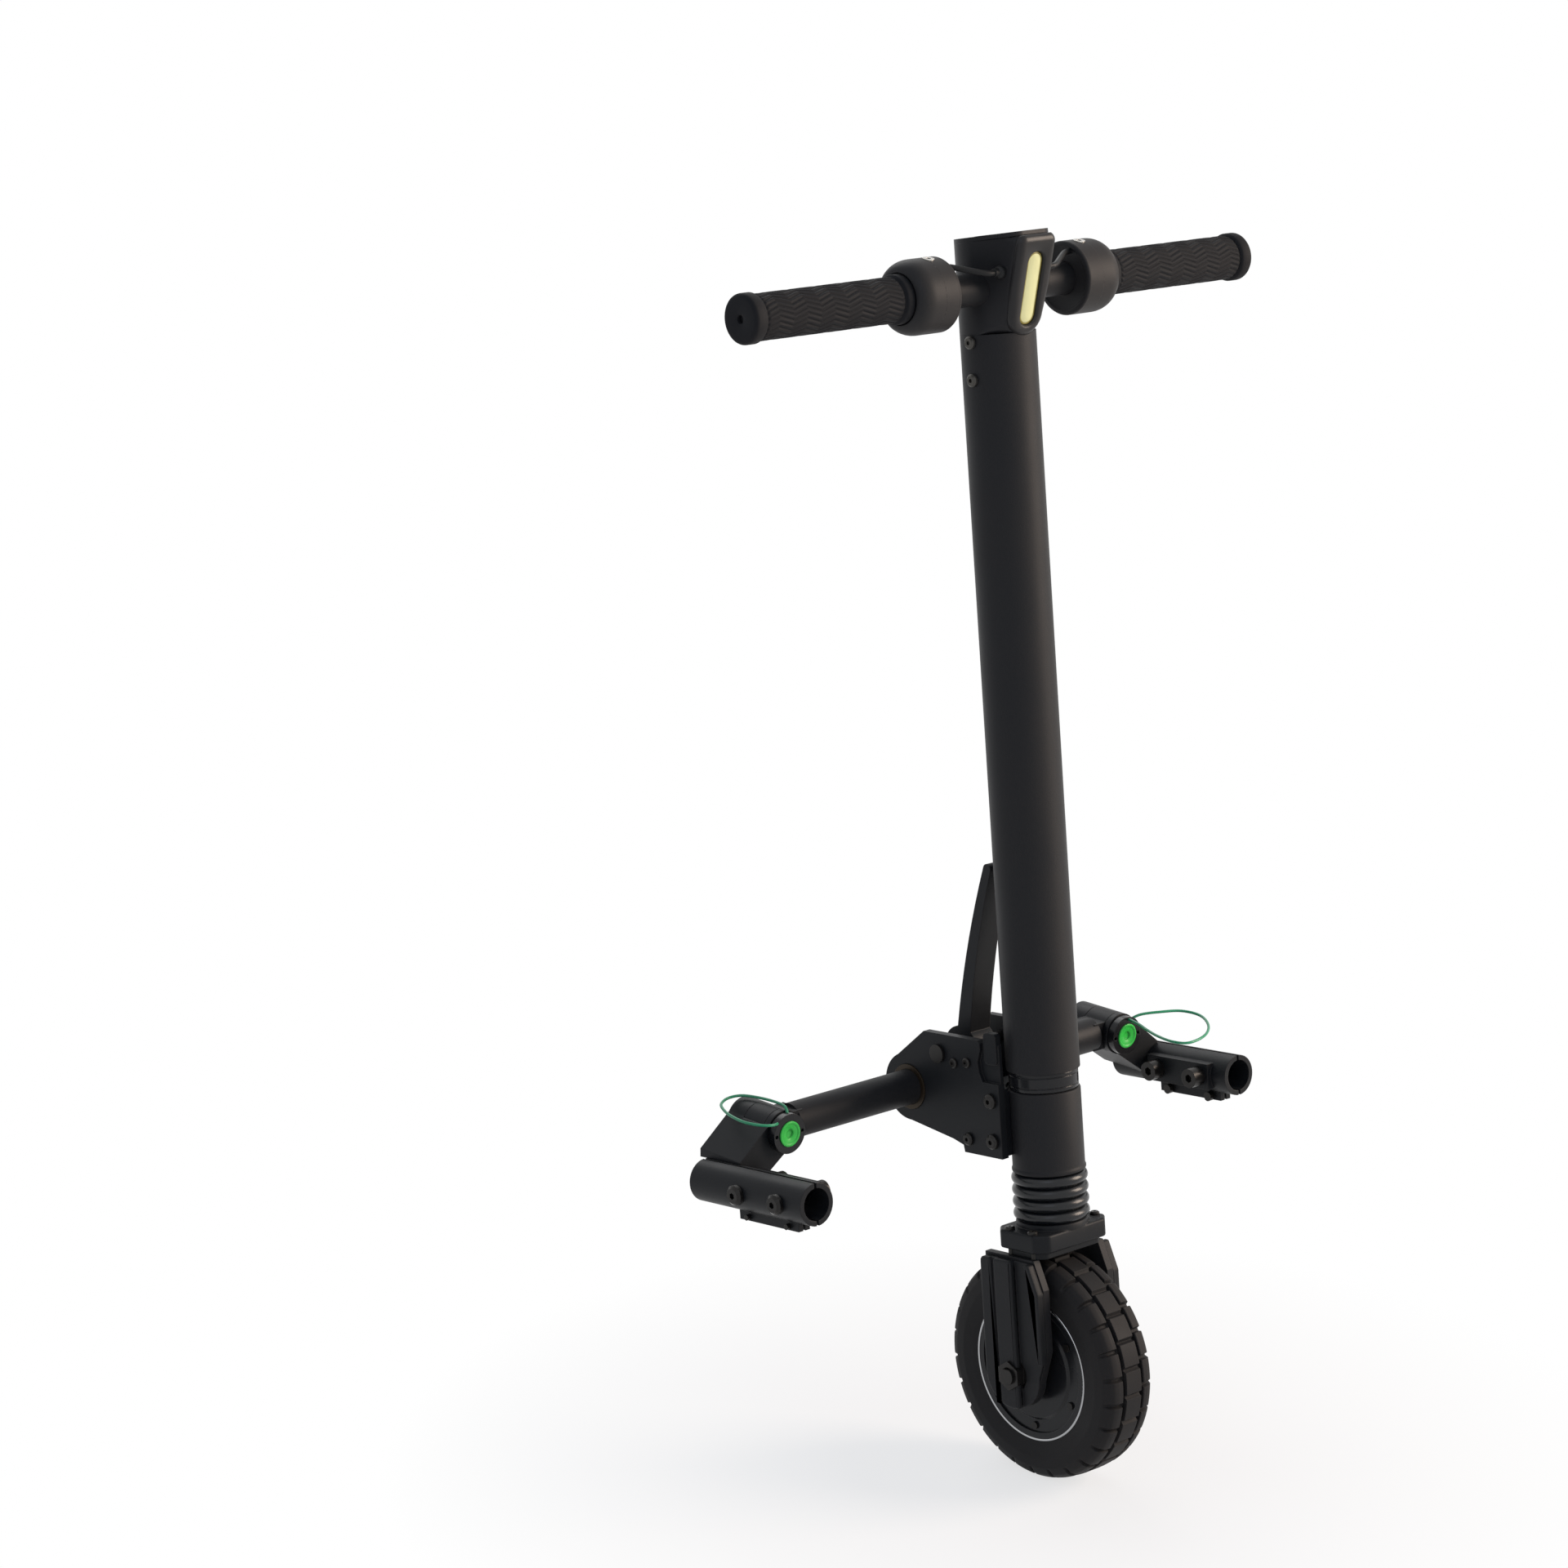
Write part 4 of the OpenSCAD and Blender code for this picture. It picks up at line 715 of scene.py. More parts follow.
def make_piece(name: str, shell: Shell, body: str, surface: Surface, nodes: Sequence[str] = (),
               frame: Frame = STEER, sharp_deg: float = SHARP_DEG) -> bpy.types.Object:
    """Make a piece, hang it on its body, dress it and let it stand for solids.

    Args:
        name: The piece's name.
        shell: Its surface.
        body: The body that it moves with.
        surface: Its finish.
        nodes: The solids that it stands for.
        frame: The frame that places its surface.
        sharp_deg: Edges that turn more than this stay sharp.

    Returns:
        The piece.
    """
    obj = write_mesh(name, shell, frame, sharp_deg)
    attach(obj, body)
    dress(obj, surface)
    if nodes:
        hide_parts(*nodes)
    LOG.info("%s on %s: %d faces", obj.name, body, len(obj.data.polygons))
    return obj


# Sub-assemblies


@dataclass
class Controls:
    """Grips, control drums and leads on the handlebar; lengths along the bar are from the unit's middle."""

    bar_y: float = -5.0
    bar_s: float = 745.4
    half_w: float = 230.0
    bar_r: float = 11.15
    grip_l: float = 139.0
    grip_r: float = 14.4
    cap_r: float = 16.5
    # Flanges at the grip's inner and outer end, the outer one's rounding and the vent in its face
    inner_flange: float = 9.0
    outer_flange: float = 11.0
    end_round: float = 3.0
    vent_r: float = 2.6
    # Ridges: height, number, the zigzag's length and swing, and how far they fade in beside the flanges
    ridge_h: float = 0.85
    ridge_lines: int = 26
    zig_mm: float = 23.6
    zag_mm: float = 3.7
    fade: float = 2.0
    # Drums: inner face, length, radius, wall, inner plate and how far its middle is set back, shoulder, dish
    # in the outer face, the paddle's room and its window
    drum_in: float = 59.0
    drum_l: float = 34.0
    drum_r: float = 25.0
    drum_wall: float = 3.5
    plate: float = 2.0
    face_set: float = 0.8
    shoulder_l: float = 12.0
    shoulder_h: float = 7.7
    dish: float = 3.0
    room: float = 16.0
    window_deg: Pair = (12.0, 305.0)
    # Leads: radius, route, and the grommet's profile of radius and place across
    lead_r: float = 2.0
    lead_route: tuple[Point, ...] = (
        (74, -12, 18), (66, -12, 18), (58, -12, 18), (54, -13, 17.5), (50, -15, 16.5), (45, -18, 15),
        (40, -21, 13.5), (35, -24, 12), (30, -26, 11), (25, -26, 11), (19, -26, 11))
    grommet: tuple[Pair, ...] = (
        (2.1, 17.4), (4.0, 17.4), (4.0, 19.0), (4.4, 19.2), (4.5, 19.8), (4.4, 21.2), (4.0, 21.8),
        (3.0, 22.8), (2.8, 25.8), (2.1, 26.0), (2.1, 17.4))

    def build(self) -> None:
        """Make the grips, the drums and the leads; the right one of each stands for the pair's solids."""
        bar = TiltedFrame(self.bar_y, self.bar_s, 0.0)
        grip, drum, lead = self.grip(), self.drum(), self.lead()
        for side in Side:
            first = side is Side.RIGHT
            make_piece(f"{side.word}_chevron_grip", grip.on(side), "steering",
                       Surface.GRIP_RUBBER, ["grips"] if first else [], bar, sharp_deg=60.0)
            make_piece(f"{side.word}_control_drum", drum.on(side), "steering",
                       Surface.DRUM_ABS, ["control_housings"] if first else [], bar)
            make_piece(f"{side.word}_control_lead", lead.on(side), "steering",
                       Surface.LEAD_JACKET, ["control_leads"] if first else [])

    def grip(self) -> Shell:
        """Rubber grip: a sleeve between two smooth flanges, with zigzag ridges that run along it.

        The radius is the sleeve's plus a ridge, the root of (half + half cosine) of the angle times the
        number of lines, where the angle is shifted by a triangle wave along the grip.

        Returns:
            The left grip, with x along the bar.
        """
        steps = self.ridge_lines * 10
        end, cap, sleeve = self.grip_l, self.cap_r, self.grip_r
        start, stop = self.inner_flange, end - self.outer_flange
        # The small offsets ease the flanges' edges
        inner = np.array([[0.0, self.bar_r], [0.0, cap - 0.9], [0.3, cap - 0.3], [0.9, cap],
                          [start - 1.8, cap], [start - 1.2, cap - 0.4], [start - 0.6, sleeve + 0.6],
                          [start, sleeve]])
        along = np.linspace(start + 0.4, stop - 0.4, num=190)
        body = np.column_stack([along, np.full_like(along, sleeve)])
        outer = np.array([[stop, sleeve], [stop + 0.5, sleeve + 0.8], [stop + 1.2, cap - 0.5],
                          [stop + 2.0, cap]])
        a, soft = np.linspace(0.0, np.pi / 2, 7), self.end_round
        edge = np.stack([end - soft + soft * np.sin(a), cap - soft + soft * np.cos(a)], axis=1)
        vent = np.array([[end, self.vent_r + 1.4], [end - 0.4, self.vent_r + 0.3], [end - 3.0, self.vent_r]])
        x, r = np.vstack([inner, body, outer, edge, vent]).T
        keep = smoothstep(start, start + self.fade, x) * (1 - smoothstep(stop - self.fade, stop, x))
        zig = 2 * np.abs(np.mod(x / self.zig_mm, 1.0) - 0.5)
        angle = np.linspace(0.0, 2 * np.pi, steps, endpoint=False)[None]
        wave = np.cos(self.ridge_lines * (angle + (zig * self.zag_mm / sleeve)[:, None]))
        radius = r[:, None] + keep[:, None] * self.ridge_h * np.sqrt(0.5 + 0.5 * wave)
        place = np.broadcast_to((self.half_w - end + x)[:, None], radius.shape)
        return skin(np.stack([place, radius * np.cos(angle), radius * np.sin(angle)], axis=-1))

    def drum(self) -> Shell:
        """Control drum: a plate and rim at its inner face, a wall with a window behind, a round shoulder.

        Each is a closed profile of radius and place along the bar, carried round it; the wall is carried
        round only from the window's upper edge to its lower one.

        Returns:
            The left drum, with x along the bar.
        """
        r, wall, bore = self.drum_r, self.drum_r - self.drum_wall, self.bar_r
        plate, face = self.plate, self.face_set
        # The small offsets ease the rim's and the dish's edges
        rim = np.array([[bore, face], [wall - 0.6, face], [wall, 0.4], [wall + 0.4, 0.0], [r - 1.2, 0.0],
                        [r - 0.4, 0.4], [r, 1.2], [r, plate], [bore, plate]])
        end, slit, low = self.drum_l, self.room - plate, r - self.shoulder_h
        side = np.array([[wall, plate], [r, plate], [r, slit], [wall, slit]])
        a = np.linspace(0.0, np.pi / 2, 9)
        round_edge = np.column_stack([low + self.shoulder_h * np.cos(a),
                                      end - self.shoulder_l * (1 - np.sin(a))])
        floor = end - self.dish
        shoulder = np.vstack([
            [[wall, slit], [r, slit]], round_edge,
            [[low - 0.2, end - 0.2], [low - 0.2, floor + 0.3], [low - 0.5, floor], [bore, floor],
             [bore, self.room], [wall, self.room]]])
        whole = np.linspace(0.0, 360.0, 96, endpoint=False)
        part = np.linspace(*self.window_deg, 80)
        return (self.carried(rim, whole, True) + self.carried(side, part, False)
                + self.carried(shoulder, whole, True))

    def carried(self, profile: Array, degrees: Array, close: bool) -> Shell:
        """A closed profile carried round the bar; angles run from the back upwards.

        Args:
            profile: Points (n, 2) of radius and place out from the drum's inner face.
            degrees: The angles.
            close: Whether the run goes all the way round.

        Returns:
            The surface, with axes along the bar, up and forward.
        """
        t = np.radians(degrees)[:, None]
        r, x = profile[None, :, 0], profile[None, :, 1] + self.drum_in
        return skin(np.stack([x + 0 * t, r * np.sin(t), -r * np.cos(t)], axis=-1), close=close)

    def lead(self) -> Shell:
        """Lead and grommet: a round tube on a smooth curve, and a turned sleeve where it enters the head.

        Returns:
            The left lead, in the steering frame.
        """
        path = spline(self.lead_route, steps=5) + np.array([0.0, 0.0, self.bar_s])
        sleeve = turned(np.array(self.grommet), segments=40).axes("cab")
        return sweep(path, self.lead_r, sides=14) + sleeve.moved((0.0, *path[-1, 1:]))


@dataclass
class Head:
    """Housing above the column, the leaning bezel with its lens, and the clear edge of the lens."""

    column_top: float = 715.4
    column_r: float = 25.5
    # Housing: height with the lid, the lid's slope and thickness, wall, and depth of the floor under the lid
    height: float = 64.0
    slope_deg: float = 4.5
    lid_t: float = 3.0
    wall: float = 2.5
    floor_drop: float = 9.0
    # Bezel: its middle ahead of the axis and along it, lean, size, how far each side is drawn in at the foot
    reach: float = 36.0
    mid_s: float = 745.4
    lean_deg: float = 16.5
    bezel_w: float = 34.0
    bezel_l: float = 70.0
    bezel_t: float = 5.0
    foot_in: float = 2.0
    # Roundings: bezel's face, bezel's upper corners, housing's corner beside the bezel
    rim: float = 4.8
    corner: float = 6.0
    corner_ease: float = 0.7
    # Opening's lip: how far out from the opening and how high over the face
    lip: tuple[Pair, ...] = ((1.6, 0.0), (0.9, -0.3), (0.3, -1.2), (0.0, -2.2))
    # Lens: size, how far its middle lies below the bezel's and its face behind, gap, clear edge, crown
    lens_w: float = 14.0
    lens_l: float = 50.0
    lens_drop: float = 2.0
    lens_recess: float = 2.1
    lens_gap: float = 0.1
    edge_w: float = 1.2
    crown: float = 0.7
    crown_w: float = 5.0
    # Depth of the lens behind the bezel's face, and points on the outlines of housing, bezel and lens
    lens_back: float = 4.4
    plan_points: int = 320
    bezel_points: int = 240
    lens_points: int = 160

    @property
    def plane(self) -> TiltedFrame:
        """The bezel's face."""
        return TiltedFrame(-self.reach, self.mid_s, self.lean_deg)

    @property
    def foot_r(self) -> float:
        """Radius of the bezel's round foot."""
        return self.bezel_w / 2 - self.foot_in

    def build(self) -> None:
        """Make the housing, the bezel and the two parts of the lens."""
        make_piece("head_shell", self.housing(), "steering", Surface.MOULDED_ABS,
                   ["head_housing"], sharp_deg=50.0)
        make_piece("lamp_frame", self.bezel(), "steering", Surface.BEZEL_ABS, ["lamp_bezel"])
        make_piece("lamp_window", self.lens(), "steering", Surface.FROSTED_LENS, ["lamp_lens"],
                   self.plane)
        # The lens's edge ring is coloured darker than the lens: painted shade of its bevelled edge
        make_piece("lamp_window_edge", self.lens_edge(), "steering", Surface.LENS_RIM,
                   frame=self.plane)

    def under_lid(self, y: Array) -> Array:
        """Height of the lid's underside at a distance back from the steering axis."""
        return self.column_top + self.height - self.lid_t - y * math.tan(math.radians(self.slope_deg))

    def half_width(self, up: float) -> float:
        """Half of the bezel's width at a place up its plane: a round foot, and sides that widen above it.

        Args:
            up: Place up the plane from its middle.

        Returns:
            Half of the width there.
        """
        end = self.foot_r
        foot = end - self.bezel_l / 2
        if up < foot:
            return math.sqrt(max(end ** 2 - (up - foot) ** 2, 0.0))
        return end + self.foot_in * min((up - foot) / (self.bezel_l / 4 - foot), 1.0)

    def corner_cut(self, up: float) -> float:
        """How far the bezel's rounded upper corner lies inside its straight side, at a place up its plane."""
        over = min(max(up - self.bezel_l / 2 + self.corner, 0.0), self.corner)
        return self.corner - math.sqrt(self.corner ** 2 - over ** 2)

    def plan(self, front: float, half: float, inset: float, cut: float) -> Array:
        """Plan of the housing: the column's circle, with two straight lines that touch it and meet the front.

        A direction's reach is the nearer of the front's and the touching line's, eased into each other at
        the corner, and the circle's where the front's corner lies inside the circle or the direction is
        behind the touch. The corner is then cut at 45 degrees.

        Args:
            front: Distance of the front ahead of the steering axis.
            half: Half of the front's width.
            inset: How far the outline is drawn in.
            cut: How far the corner's cut reaches along the front.

        Returns:
            Outline (n, 2), from the middle of the back.
        """
        least, flattest = 0.1, 0.05
        r, front, half = self.column_r - inset, front - inset, max(half - inset, least)
        phi = np.linspace(-np.pi, np.pi, self.plan_points, endpoint=False)
        turn, far = np.abs(phi), math.hypot(front, half)
        reach = np.full(phi.shape, r)
        if far > r:
            touch = math.atan2(half, front) + math.acos(r / far)
            line = r / np.maximum(np.cos(touch - turn), flattest)
            face = front / np.maximum(np.cos(turn), flattest)
            nearer = -self.corner_ease * np.logaddexp(-line / self.corner_ease, -face / self.corner_ease)
            reach = np.where(turn < touch, np.maximum(nearer, r), r)
        x, y = reach * np.sin(phi), -reach * np.cos(phi)
        limit = np.maximum(half - cut + y + front, least)
        return np.stack([np.clip(x, -limit, limit), y], axis=1)

    def housing(self) -> Shell:
        """Housing: plans stacked from the column's top to the lid, whose front follows the leaning bezel.

        Each level lies a fraction of the way from the column's top to the lid's underside, so the last is on
        the sloping lid. Its rim then turns in and goes down to a floor, which leaves room for the button.

        Returns:
            The housing, in the steering frame.
        """
        lean, slope = (math.tan(math.radians(d)) for d in (self.lean_deg, self.slope_deg))
        upright = math.cos(math.radians(self.lean_deg))
        back = self.bezel_t / upright - self.reach
        rise = self.height - self.lid_t - slope * (back + lean * self.mid_s)
        levels = [(t, 0.0, 0.0) for t in np.linspace(0.0, 1.0, 44)]
        levels += [(1.0, self.wall, 0.0), (1.0, self.wall, self.floor_drop)]
        rings = []
        for t, inset, down in levels:
            above = (self.column_top + t * rise) / (1 - t * slope * lean) - self.mid_s
            up = above / upright
            plan = self.plan(lean * above - back, self.half_width(up), inset, self.corner_cut(up))
            height = self.column_top + t * (self.under_lid(plan[:, 1]) - self.column_top) - down
            rings.append(np.column_stack([plan, height]))
        return skin(np.array(rings))

    def opening(self, inset: float, n: int) -> Array:
        """Outline of the lens, a slot with round ends, on the bezel's plane.

        Args:
            inset: How far it is drawn in.
            n: How many points it gets.

        Returns:
            Outline (n, 2), from the middle of its top.
        """
        r = self.lens_w / 2 - inset
        a = np.linspace(0.0, np.pi, 30)
        end = np.stack([r * np.cos(a), (self.lens_l - self.lens_w) / 2 + r * np.sin(a)], axis=1)
        return from_top(np.vstack([end, -end]), n) - np.array([0.0, self.lens_drop])

    def bezel(self) -> Shell:
        """Frame round the lens: rings from the outer edge over the rounded face to the opening.

        It is closed behind. Points that would lie in the column are pushed forward to its surface, and those
        above the lid's underside down to it.

        Returns:
            The frame, in the steering frame.
        """
        n, gap, end = self.bezel_points, 0.1, self.foot_r
        half_w, half_l = self.bezel_w / 2, self.bezel_l / 2
        a = np.linspace(np.pi, 2 * np.pi, 40)
        foot = np.stack([end * np.cos(a), end - half_l + end * np.sin(a)], axis=1)
        top = fillet([[half_w, 0.0], [half_w, half_l], [-half_w, half_l], [-half_w, 0.0]],
                     [0, self.corner, self.corner, 0], steps=12, closed=False)
        outer = from_top(np.vstack([foot, top]), n)
        hole = self.opening(-self.lens_gap, n)
        away, clear = outward(outer), outward(hole)
        layers = [(outer, -self.bezel_t)]
        layers += [(outer - away * self.rim * (1 - math.sin(t)), self.rim * (math.cos(t) - 1))
                   for t in np.linspace(np.pi / 2, 0.0, 10)]
        # A ring just inside the rounding keeps the face flat from there on
        layers += [(outer - away * (self.rim + 0.3), 0.0)]
        layers += [(hole + clear * d, z) for d, z in (*self.lip, (0.0, -self.bezel_t))]
        x, y, s = np.moveaxis(self.plane.steered(stacked(layers)), -1, 0)
        column = -np.sqrt(np.maximum((self.column_r + gap) ** 2 - x ** 2, 0.0))
        y = np.where(s < self.column_top, np.minimum(y, column), y)
        s = np.minimum(s, self.under_lid(y) - gap)
        return skin(np.stack([x, y, s], axis=-1), close=True)

    def lens(self) -> Shell:
        """Lens inside its clear edge: a slot-shaped plate whose face crowns towards the middle by a sine.

        Returns:
            The lens, on the bezel's plane.
        """
        inset = self.lens_gap + self.edge_w
        layers = [(inset, -self.lens_back)]
        layers += [(inset + self.crown_w * t, self.crown * math.sin(t * np.pi / 2) - self.lens_recess)
                   for t in np.linspace(0.0, 1.0, 9)]
        return skin(stacked([(self.opening(d, self.lens_points), z) for d, z in layers]))

    def lens_edge(self) -> Shell:
        """Clear edge of the lens: a ring along the opening with an eased outer corner.

        Returns:
            The ring, on the bezel's plane.
        """
        out, face, deep = self.lens_gap, -self.lens_recess, -self.lens_back
        within = out + self.edge_w
        layers = [(out, deep), (out, face - 0.2), (out + 0.3, face), (within, face + 0.1), (within, deep)]
        return skin(stacked([(self.opening(d, self.lens_points), z) for d, z in layers]), close=True)


@dataclass
class Column:
    """Polished collar, head tube, rubber bellows under it and the spring inside, about the steering axis."""

    # Collar: the head tube's top under it, the gap to that, size, and the turned lines' place from its ends
    collar_s: float = 198.0
    collar_gap: float = 0.4
    collar_h: float = 13.5
    collar_r: float = 24.0
    collar_bore: float = 17.6
    line_in: float = 3.0
    tube_s: float = 140.0
    tube_r: float = 25.0
    bore_r: float = 20.0
    # Bellows: ends, ribs, their roundness, which is a power, and the rubber's thickness
    bellows_s: float = 106.0
    bellows_top: float = 139.6
    rib_r: float = 26.4
    rib_depth: float = 4.2
    rib_power: float = 0.55
    ribs: int = 4
    rubber_t: float = 1.6
    travel: float = 22.0
    coil_s: float = 88.1
    coil_top: float = 223.8
    coil_r: float = 10.1
    coil_wire: float = 3.0
    coil_turns: int = 9

    def build(self) -> None:
        """Make the collar, the head tube, the bellows and the spring."""
        make_piece("polished_collar", turned(self.collar(), segments=128), "steering",
                   Surface.POLISHED_BLACK, ["collar_ring"], sharp_deg=30.0)
        make_piece("head_tube_casting", turned(self.tube(), segments=128), "tilt_frame",
                   Surface.POWDER_COAT, ["head_tube"], sharp_deg=30.0)
        rubber = make_piece("ribbed_bellows", turned(self.bellows(), segments=112), "steering",
                            Surface.BELLOWS_RUBBER, ["bellows"], sharp_deg=70.0)
        self.shorten(rubber, self.bellows_top)
        spring = make_piece("coil_spring", self.coil(), "steering", Surface.TURNED_STEEL,
                            ["suspension_spring"])
        self.shorten(spring, self.coil_top)

    def shorten(self, obj: bpy.types.Object, top: float) -> None:
        """Give a piece a mesh of its own; the point at its upper end is found but not used, and nothing
        shortens it.

        Args:
            obj: The piece.
            top: Height of its upper end.
        """
        anchor = STEER.place(np.array([0.0, 0.0, top])) * MM
        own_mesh(obj)

    def coil(self) -> Shell:
        """Suspension spring: round wire on a helix that climbs evenly about the steering axis.

        Returns:
            The spring, in the steering frame.
        """
        t = np.linspace(0.0, 1.0, self.coil_turns * 36 + 1)
        a, r = 2 * np.pi * self.coil_turns * t, self.coil_wire / 2
        low, high = self.coil_s + r, self.coil_top - r
        path = np.stack([self.coil_r * np.cos(a), self.coil_r * np.sin(a), low + (high - low) * t], axis=1)
        return sweep(path, r, sides=10)

    def collar(self) -> Array:
        """Collar's section: softened edges and two turned lines.

        Returns:
            Closed profile (n, 2) of radius and height.
        """
        low, r, bore = self.collar_s + self.collar_gap, self.collar_r, self.collar_bore
        high = low + self.collar_h
        # The small offsets soften the edges and cut the lines
        lines = [[[r, s - 0.5], [r - 0.5, s - 0.25], [r - 0.5, s + 0.25], [r, s + 0.5]]
                 for s in (low + self.line_in, high - self.line_in)]
        return np.array([[bore, low], [r - 0.9, low], [r - 0.25, low + 0.25], [r, low + 0.9], *lines[0],
                         *lines[1], [r, high - 0.9], [r - 0.25, high - 0.25], [r - 0.9, high], [bore, high],
                         [bore, low]])

    def tube(self) -> Array:
        """Head tube's section: a lip at its foot, a soft shoulder above it and an eased top edge.

        Returns:
            Closed profile (n, 2) of radius and height.
        """
        low, high, r, bore = self.tube_s, self.collar_s, self.tube_r, self.bore_r
        # The small offsets shape the lip, its shoulder and the eased edge
        return np.array([[bore, low], [r - 0.4, low], [r + 0.3, low + 0.4], [r + 0.6, low + 1.1],
                         [r + 0.6, low + 2.2], [r + 0.3, low + 2.9], [r + 0.05, low + 3.4], [r, low + 4.2],
                         [r, high - 1.4], [r - 0.4, high - 0.4], [r - 1.2, high], [bore, high], [bore, low]])

    def bellows(self) -> Array:
        """Bellows' section: round ribs, each a power of a parabola, with a wall that follows them inside.

        Returns:
            Closed profile (n, 2) of radius and height.
        """
        t = np.linspace(0.0, self.ribs, self.ribs * 22 + 1)
        f = np.clip(1 - (2 * np.mod(t, 1.0) - 1) ** 2, 0.0, 1.0)
        s = self.bellows_s + (self.bellows_top - self.bellows_s) * t / self.ribs
        r = self.rib_r - self.rib_depth + self.rib_depth * f ** self.rib_power
        outer, inner = np.stack([r, s], axis=1), np.stack([r - self.rubber_t, s], axis=1)[::-1]
        return np.vstack([outer, inner, outer[:1]])


@dataclass
class Fork:
    """Crown block under the bellows and the moulded covers on the fork's legs."""

    # Crown: foot, waist and how far that is drawn in, block and its cut corners, ring and spigot on top
    crown_s: float = 84.0
    waist_h: float = 5.0
    waist_in: Pair = (4.0, 5.0)
    waist_cut: float = 6.0
    crown_h: float = 18.0
    half_w: float = 35.0
    half_l: float = 24.0
    crown_cut: float = 8.0
    ring_h: float = 4.0
    ring_r: float = 25.0
    spigot_h: float = 2.0
    spigot_r: float = 21.0
    bore_r: float = 15.2
    # Legs: outer face, width, back edge, radius of the foot, the front's slanted shoulder, gap to the crown
    leg_out: float = 34.0
    leg_w: float = 55.0
    leg_back: float = 33.0
    end_r: float = 24.0
    slant_w: float = 8.0
    slant_h: float = 20.0
    top_gap: float = 2.0
    # The foot's arc, where the front edge turns in to it, and the roundings from the foot's back to its front
    foot_deg: Pair = (178.0, 360.0)
    front_low: float = 20.0
    leg_rounds: tuple[float, ...] = (0.0, 3.0, 4.0, 8.0, 8.0, 0.0)
    # Covers: thickness, its sheet, panel behind with a seam, wall along the front
    cover_t: float = 6.0
    sheet_t: float = 1.6
    panel_w: float = 30.0
    panel_step: float = 2.0
    seam: Pair = (12.5, 10.5)
    front_w: float = 4.6
    front_foot: float = 12.0
    # The wall's width at its top, how far its inner bend lies below the outer one, and its roundings
    front_top: float = 5.0
    bend_drop: float = 1.0
    front_rounds: tuple[float, ...] = (1.0, 5.0, 1.5, 1.5, 5.0, 1.0)

    @property
    def leg_front(self) -> float:
        """The leg's front edge."""
        return self.leg_back - self.leg_w

    def build(self) -> None:
        """Make the crown and the covers."""
        make_piece("crown_block", self.crown(), "fork", Surface.BRACKET_COAT, ["fork_crown"])
        cover = self.cover()
        make_piece("leg_cover_pair", cover + cover.mirrored(), "fork", Surface.FILLED_NYLON,
                   ["leg_covers"])

    @staticmethod
    def plan(w: float, h: float, cut: float) -> Array:
        """Rectangle with its corners cut off and every corner then rounded.

        Args:
            w: Half of its width.
            h: Half of its length.
            cut: How much of each edge a corner's cut takes.

        Returns:
            Outline (n, 2).
        """
        corners = [[w, cut - h], [w, h - cut], [w - cut, h], [cut - w, h], [-w, h - cut], [-w, cut - h],
                   [cut - w, -h], [w - cut, -h]]
        return resample(fillet(corners, radius=3.0, steps=5), count=240)

    def crown(self) -> Shell:
        """Crown: an octagon-cornered block on a drawn-in waist, with a turned ring and a spigot on top.

        Returns:
            The crown, in the steering frame.
        """
        mid, top = self.crown_s + self.waist_h, self.crown_s + self.crown_h
        r, bore, spigot, sunk = self.ring_r, self.bore_r, self.spigot_r, 1.0
        face, tip = top + self.ring_h, top + self.ring_h + self.spigot_h
        # The small offsets ease the ring's edge
        ring = np.array([[bore, top - sunk], [r, top - sunk], [r, face - 1.2], [r - 0.4, face - 0.4],
                         [r - 1.2, face], [spigot, face], [spigot, tip], [bore, tip], [bore, top - sunk]])
        waist = self.plan(self.half_w - self.waist_in[0], self.half_l - self.waist_in[1], self.waist_cut)
        block = self.plan(self.half_w, self.half_l, self.crown_cut)
        return (slab(waist, self.crown_s, mid + sunk, edge=0.6) + slab(block, mid, top, edge=1.8)
                + turned(ring, segments=96))

    def outline(self, top: float) -> Array:
        """Outline of a leg, across the steering axis and along it: an arc at its foot and a rounded polygon.

        Args:
            top: Height of its upper end.

        Returns:
            Outline (n, 2).
        """
        front, r, steps = self.leg_front, self.end_r, 8
        a = np.linspace(*np.radians(self.foot_deg), 40)
        foot = np.stack([STEER.setback + r * np.cos(a), r * np.sin(a)], axis=1)
        corners = [foot[-1], [self.leg_back, top], [front + self.slant_w, top], [front, top - self.slant_h],
                   [front, self.front_low], foot[0]]
        rest = fillet(corners, self.leg_rounds, steps, closed=False)
        return resample(np.vstack([foot, rest[steps:-steps]]), count=420)

    def cover(self) -> Shell:
        """Leg cover: a thin sheet, a raised panel behind with a seam in it, a raised wall along its front.

        Each is a plate of the leg's outline, cut to its own reach from front to back, with rounded rims.

        Returns:
            The left cover, in the steering frame.
        """
        top, low, high = self.crown_s - self.top_gap, self.leg_out, self.leg_out + self.cover_t
        leg, front, back, wide = self.outline(top), self.leg_front, self.leg_back, self.front_w
        panel, seam = back - self.panel_w, [back - place for place in self.seam]
        wall = [[front, self.front_foot], [front, top - self.slant_h], [front + self.slant_w, top],
                [front + self.slant_w + self.front_top, top],
                [front + wide, top - self.slant_h - self.bend_drop], [front + wide, self.front_foot]]
        strip = fillet(wall, self.front_rounds, steps=6)
        # Outline, height of the outer face and radius of the rims
        plates = ((leg, low + self.sheet_t, 0.5),
                  (self.cut(leg, panel, math.inf), high - self.panel_step, 0.8),
                  (self.cut(leg, panel, seam[0]), high, 1.4),
                  (self.cut(leg, seam[1], math.inf), high, 1.4),
                  (resample(strip, count=200), high, 1.0))
        first, *others = [slab(outline, low, face, edge) for outline, face, edge in plates]
        return sum(others, first).axes("cab")

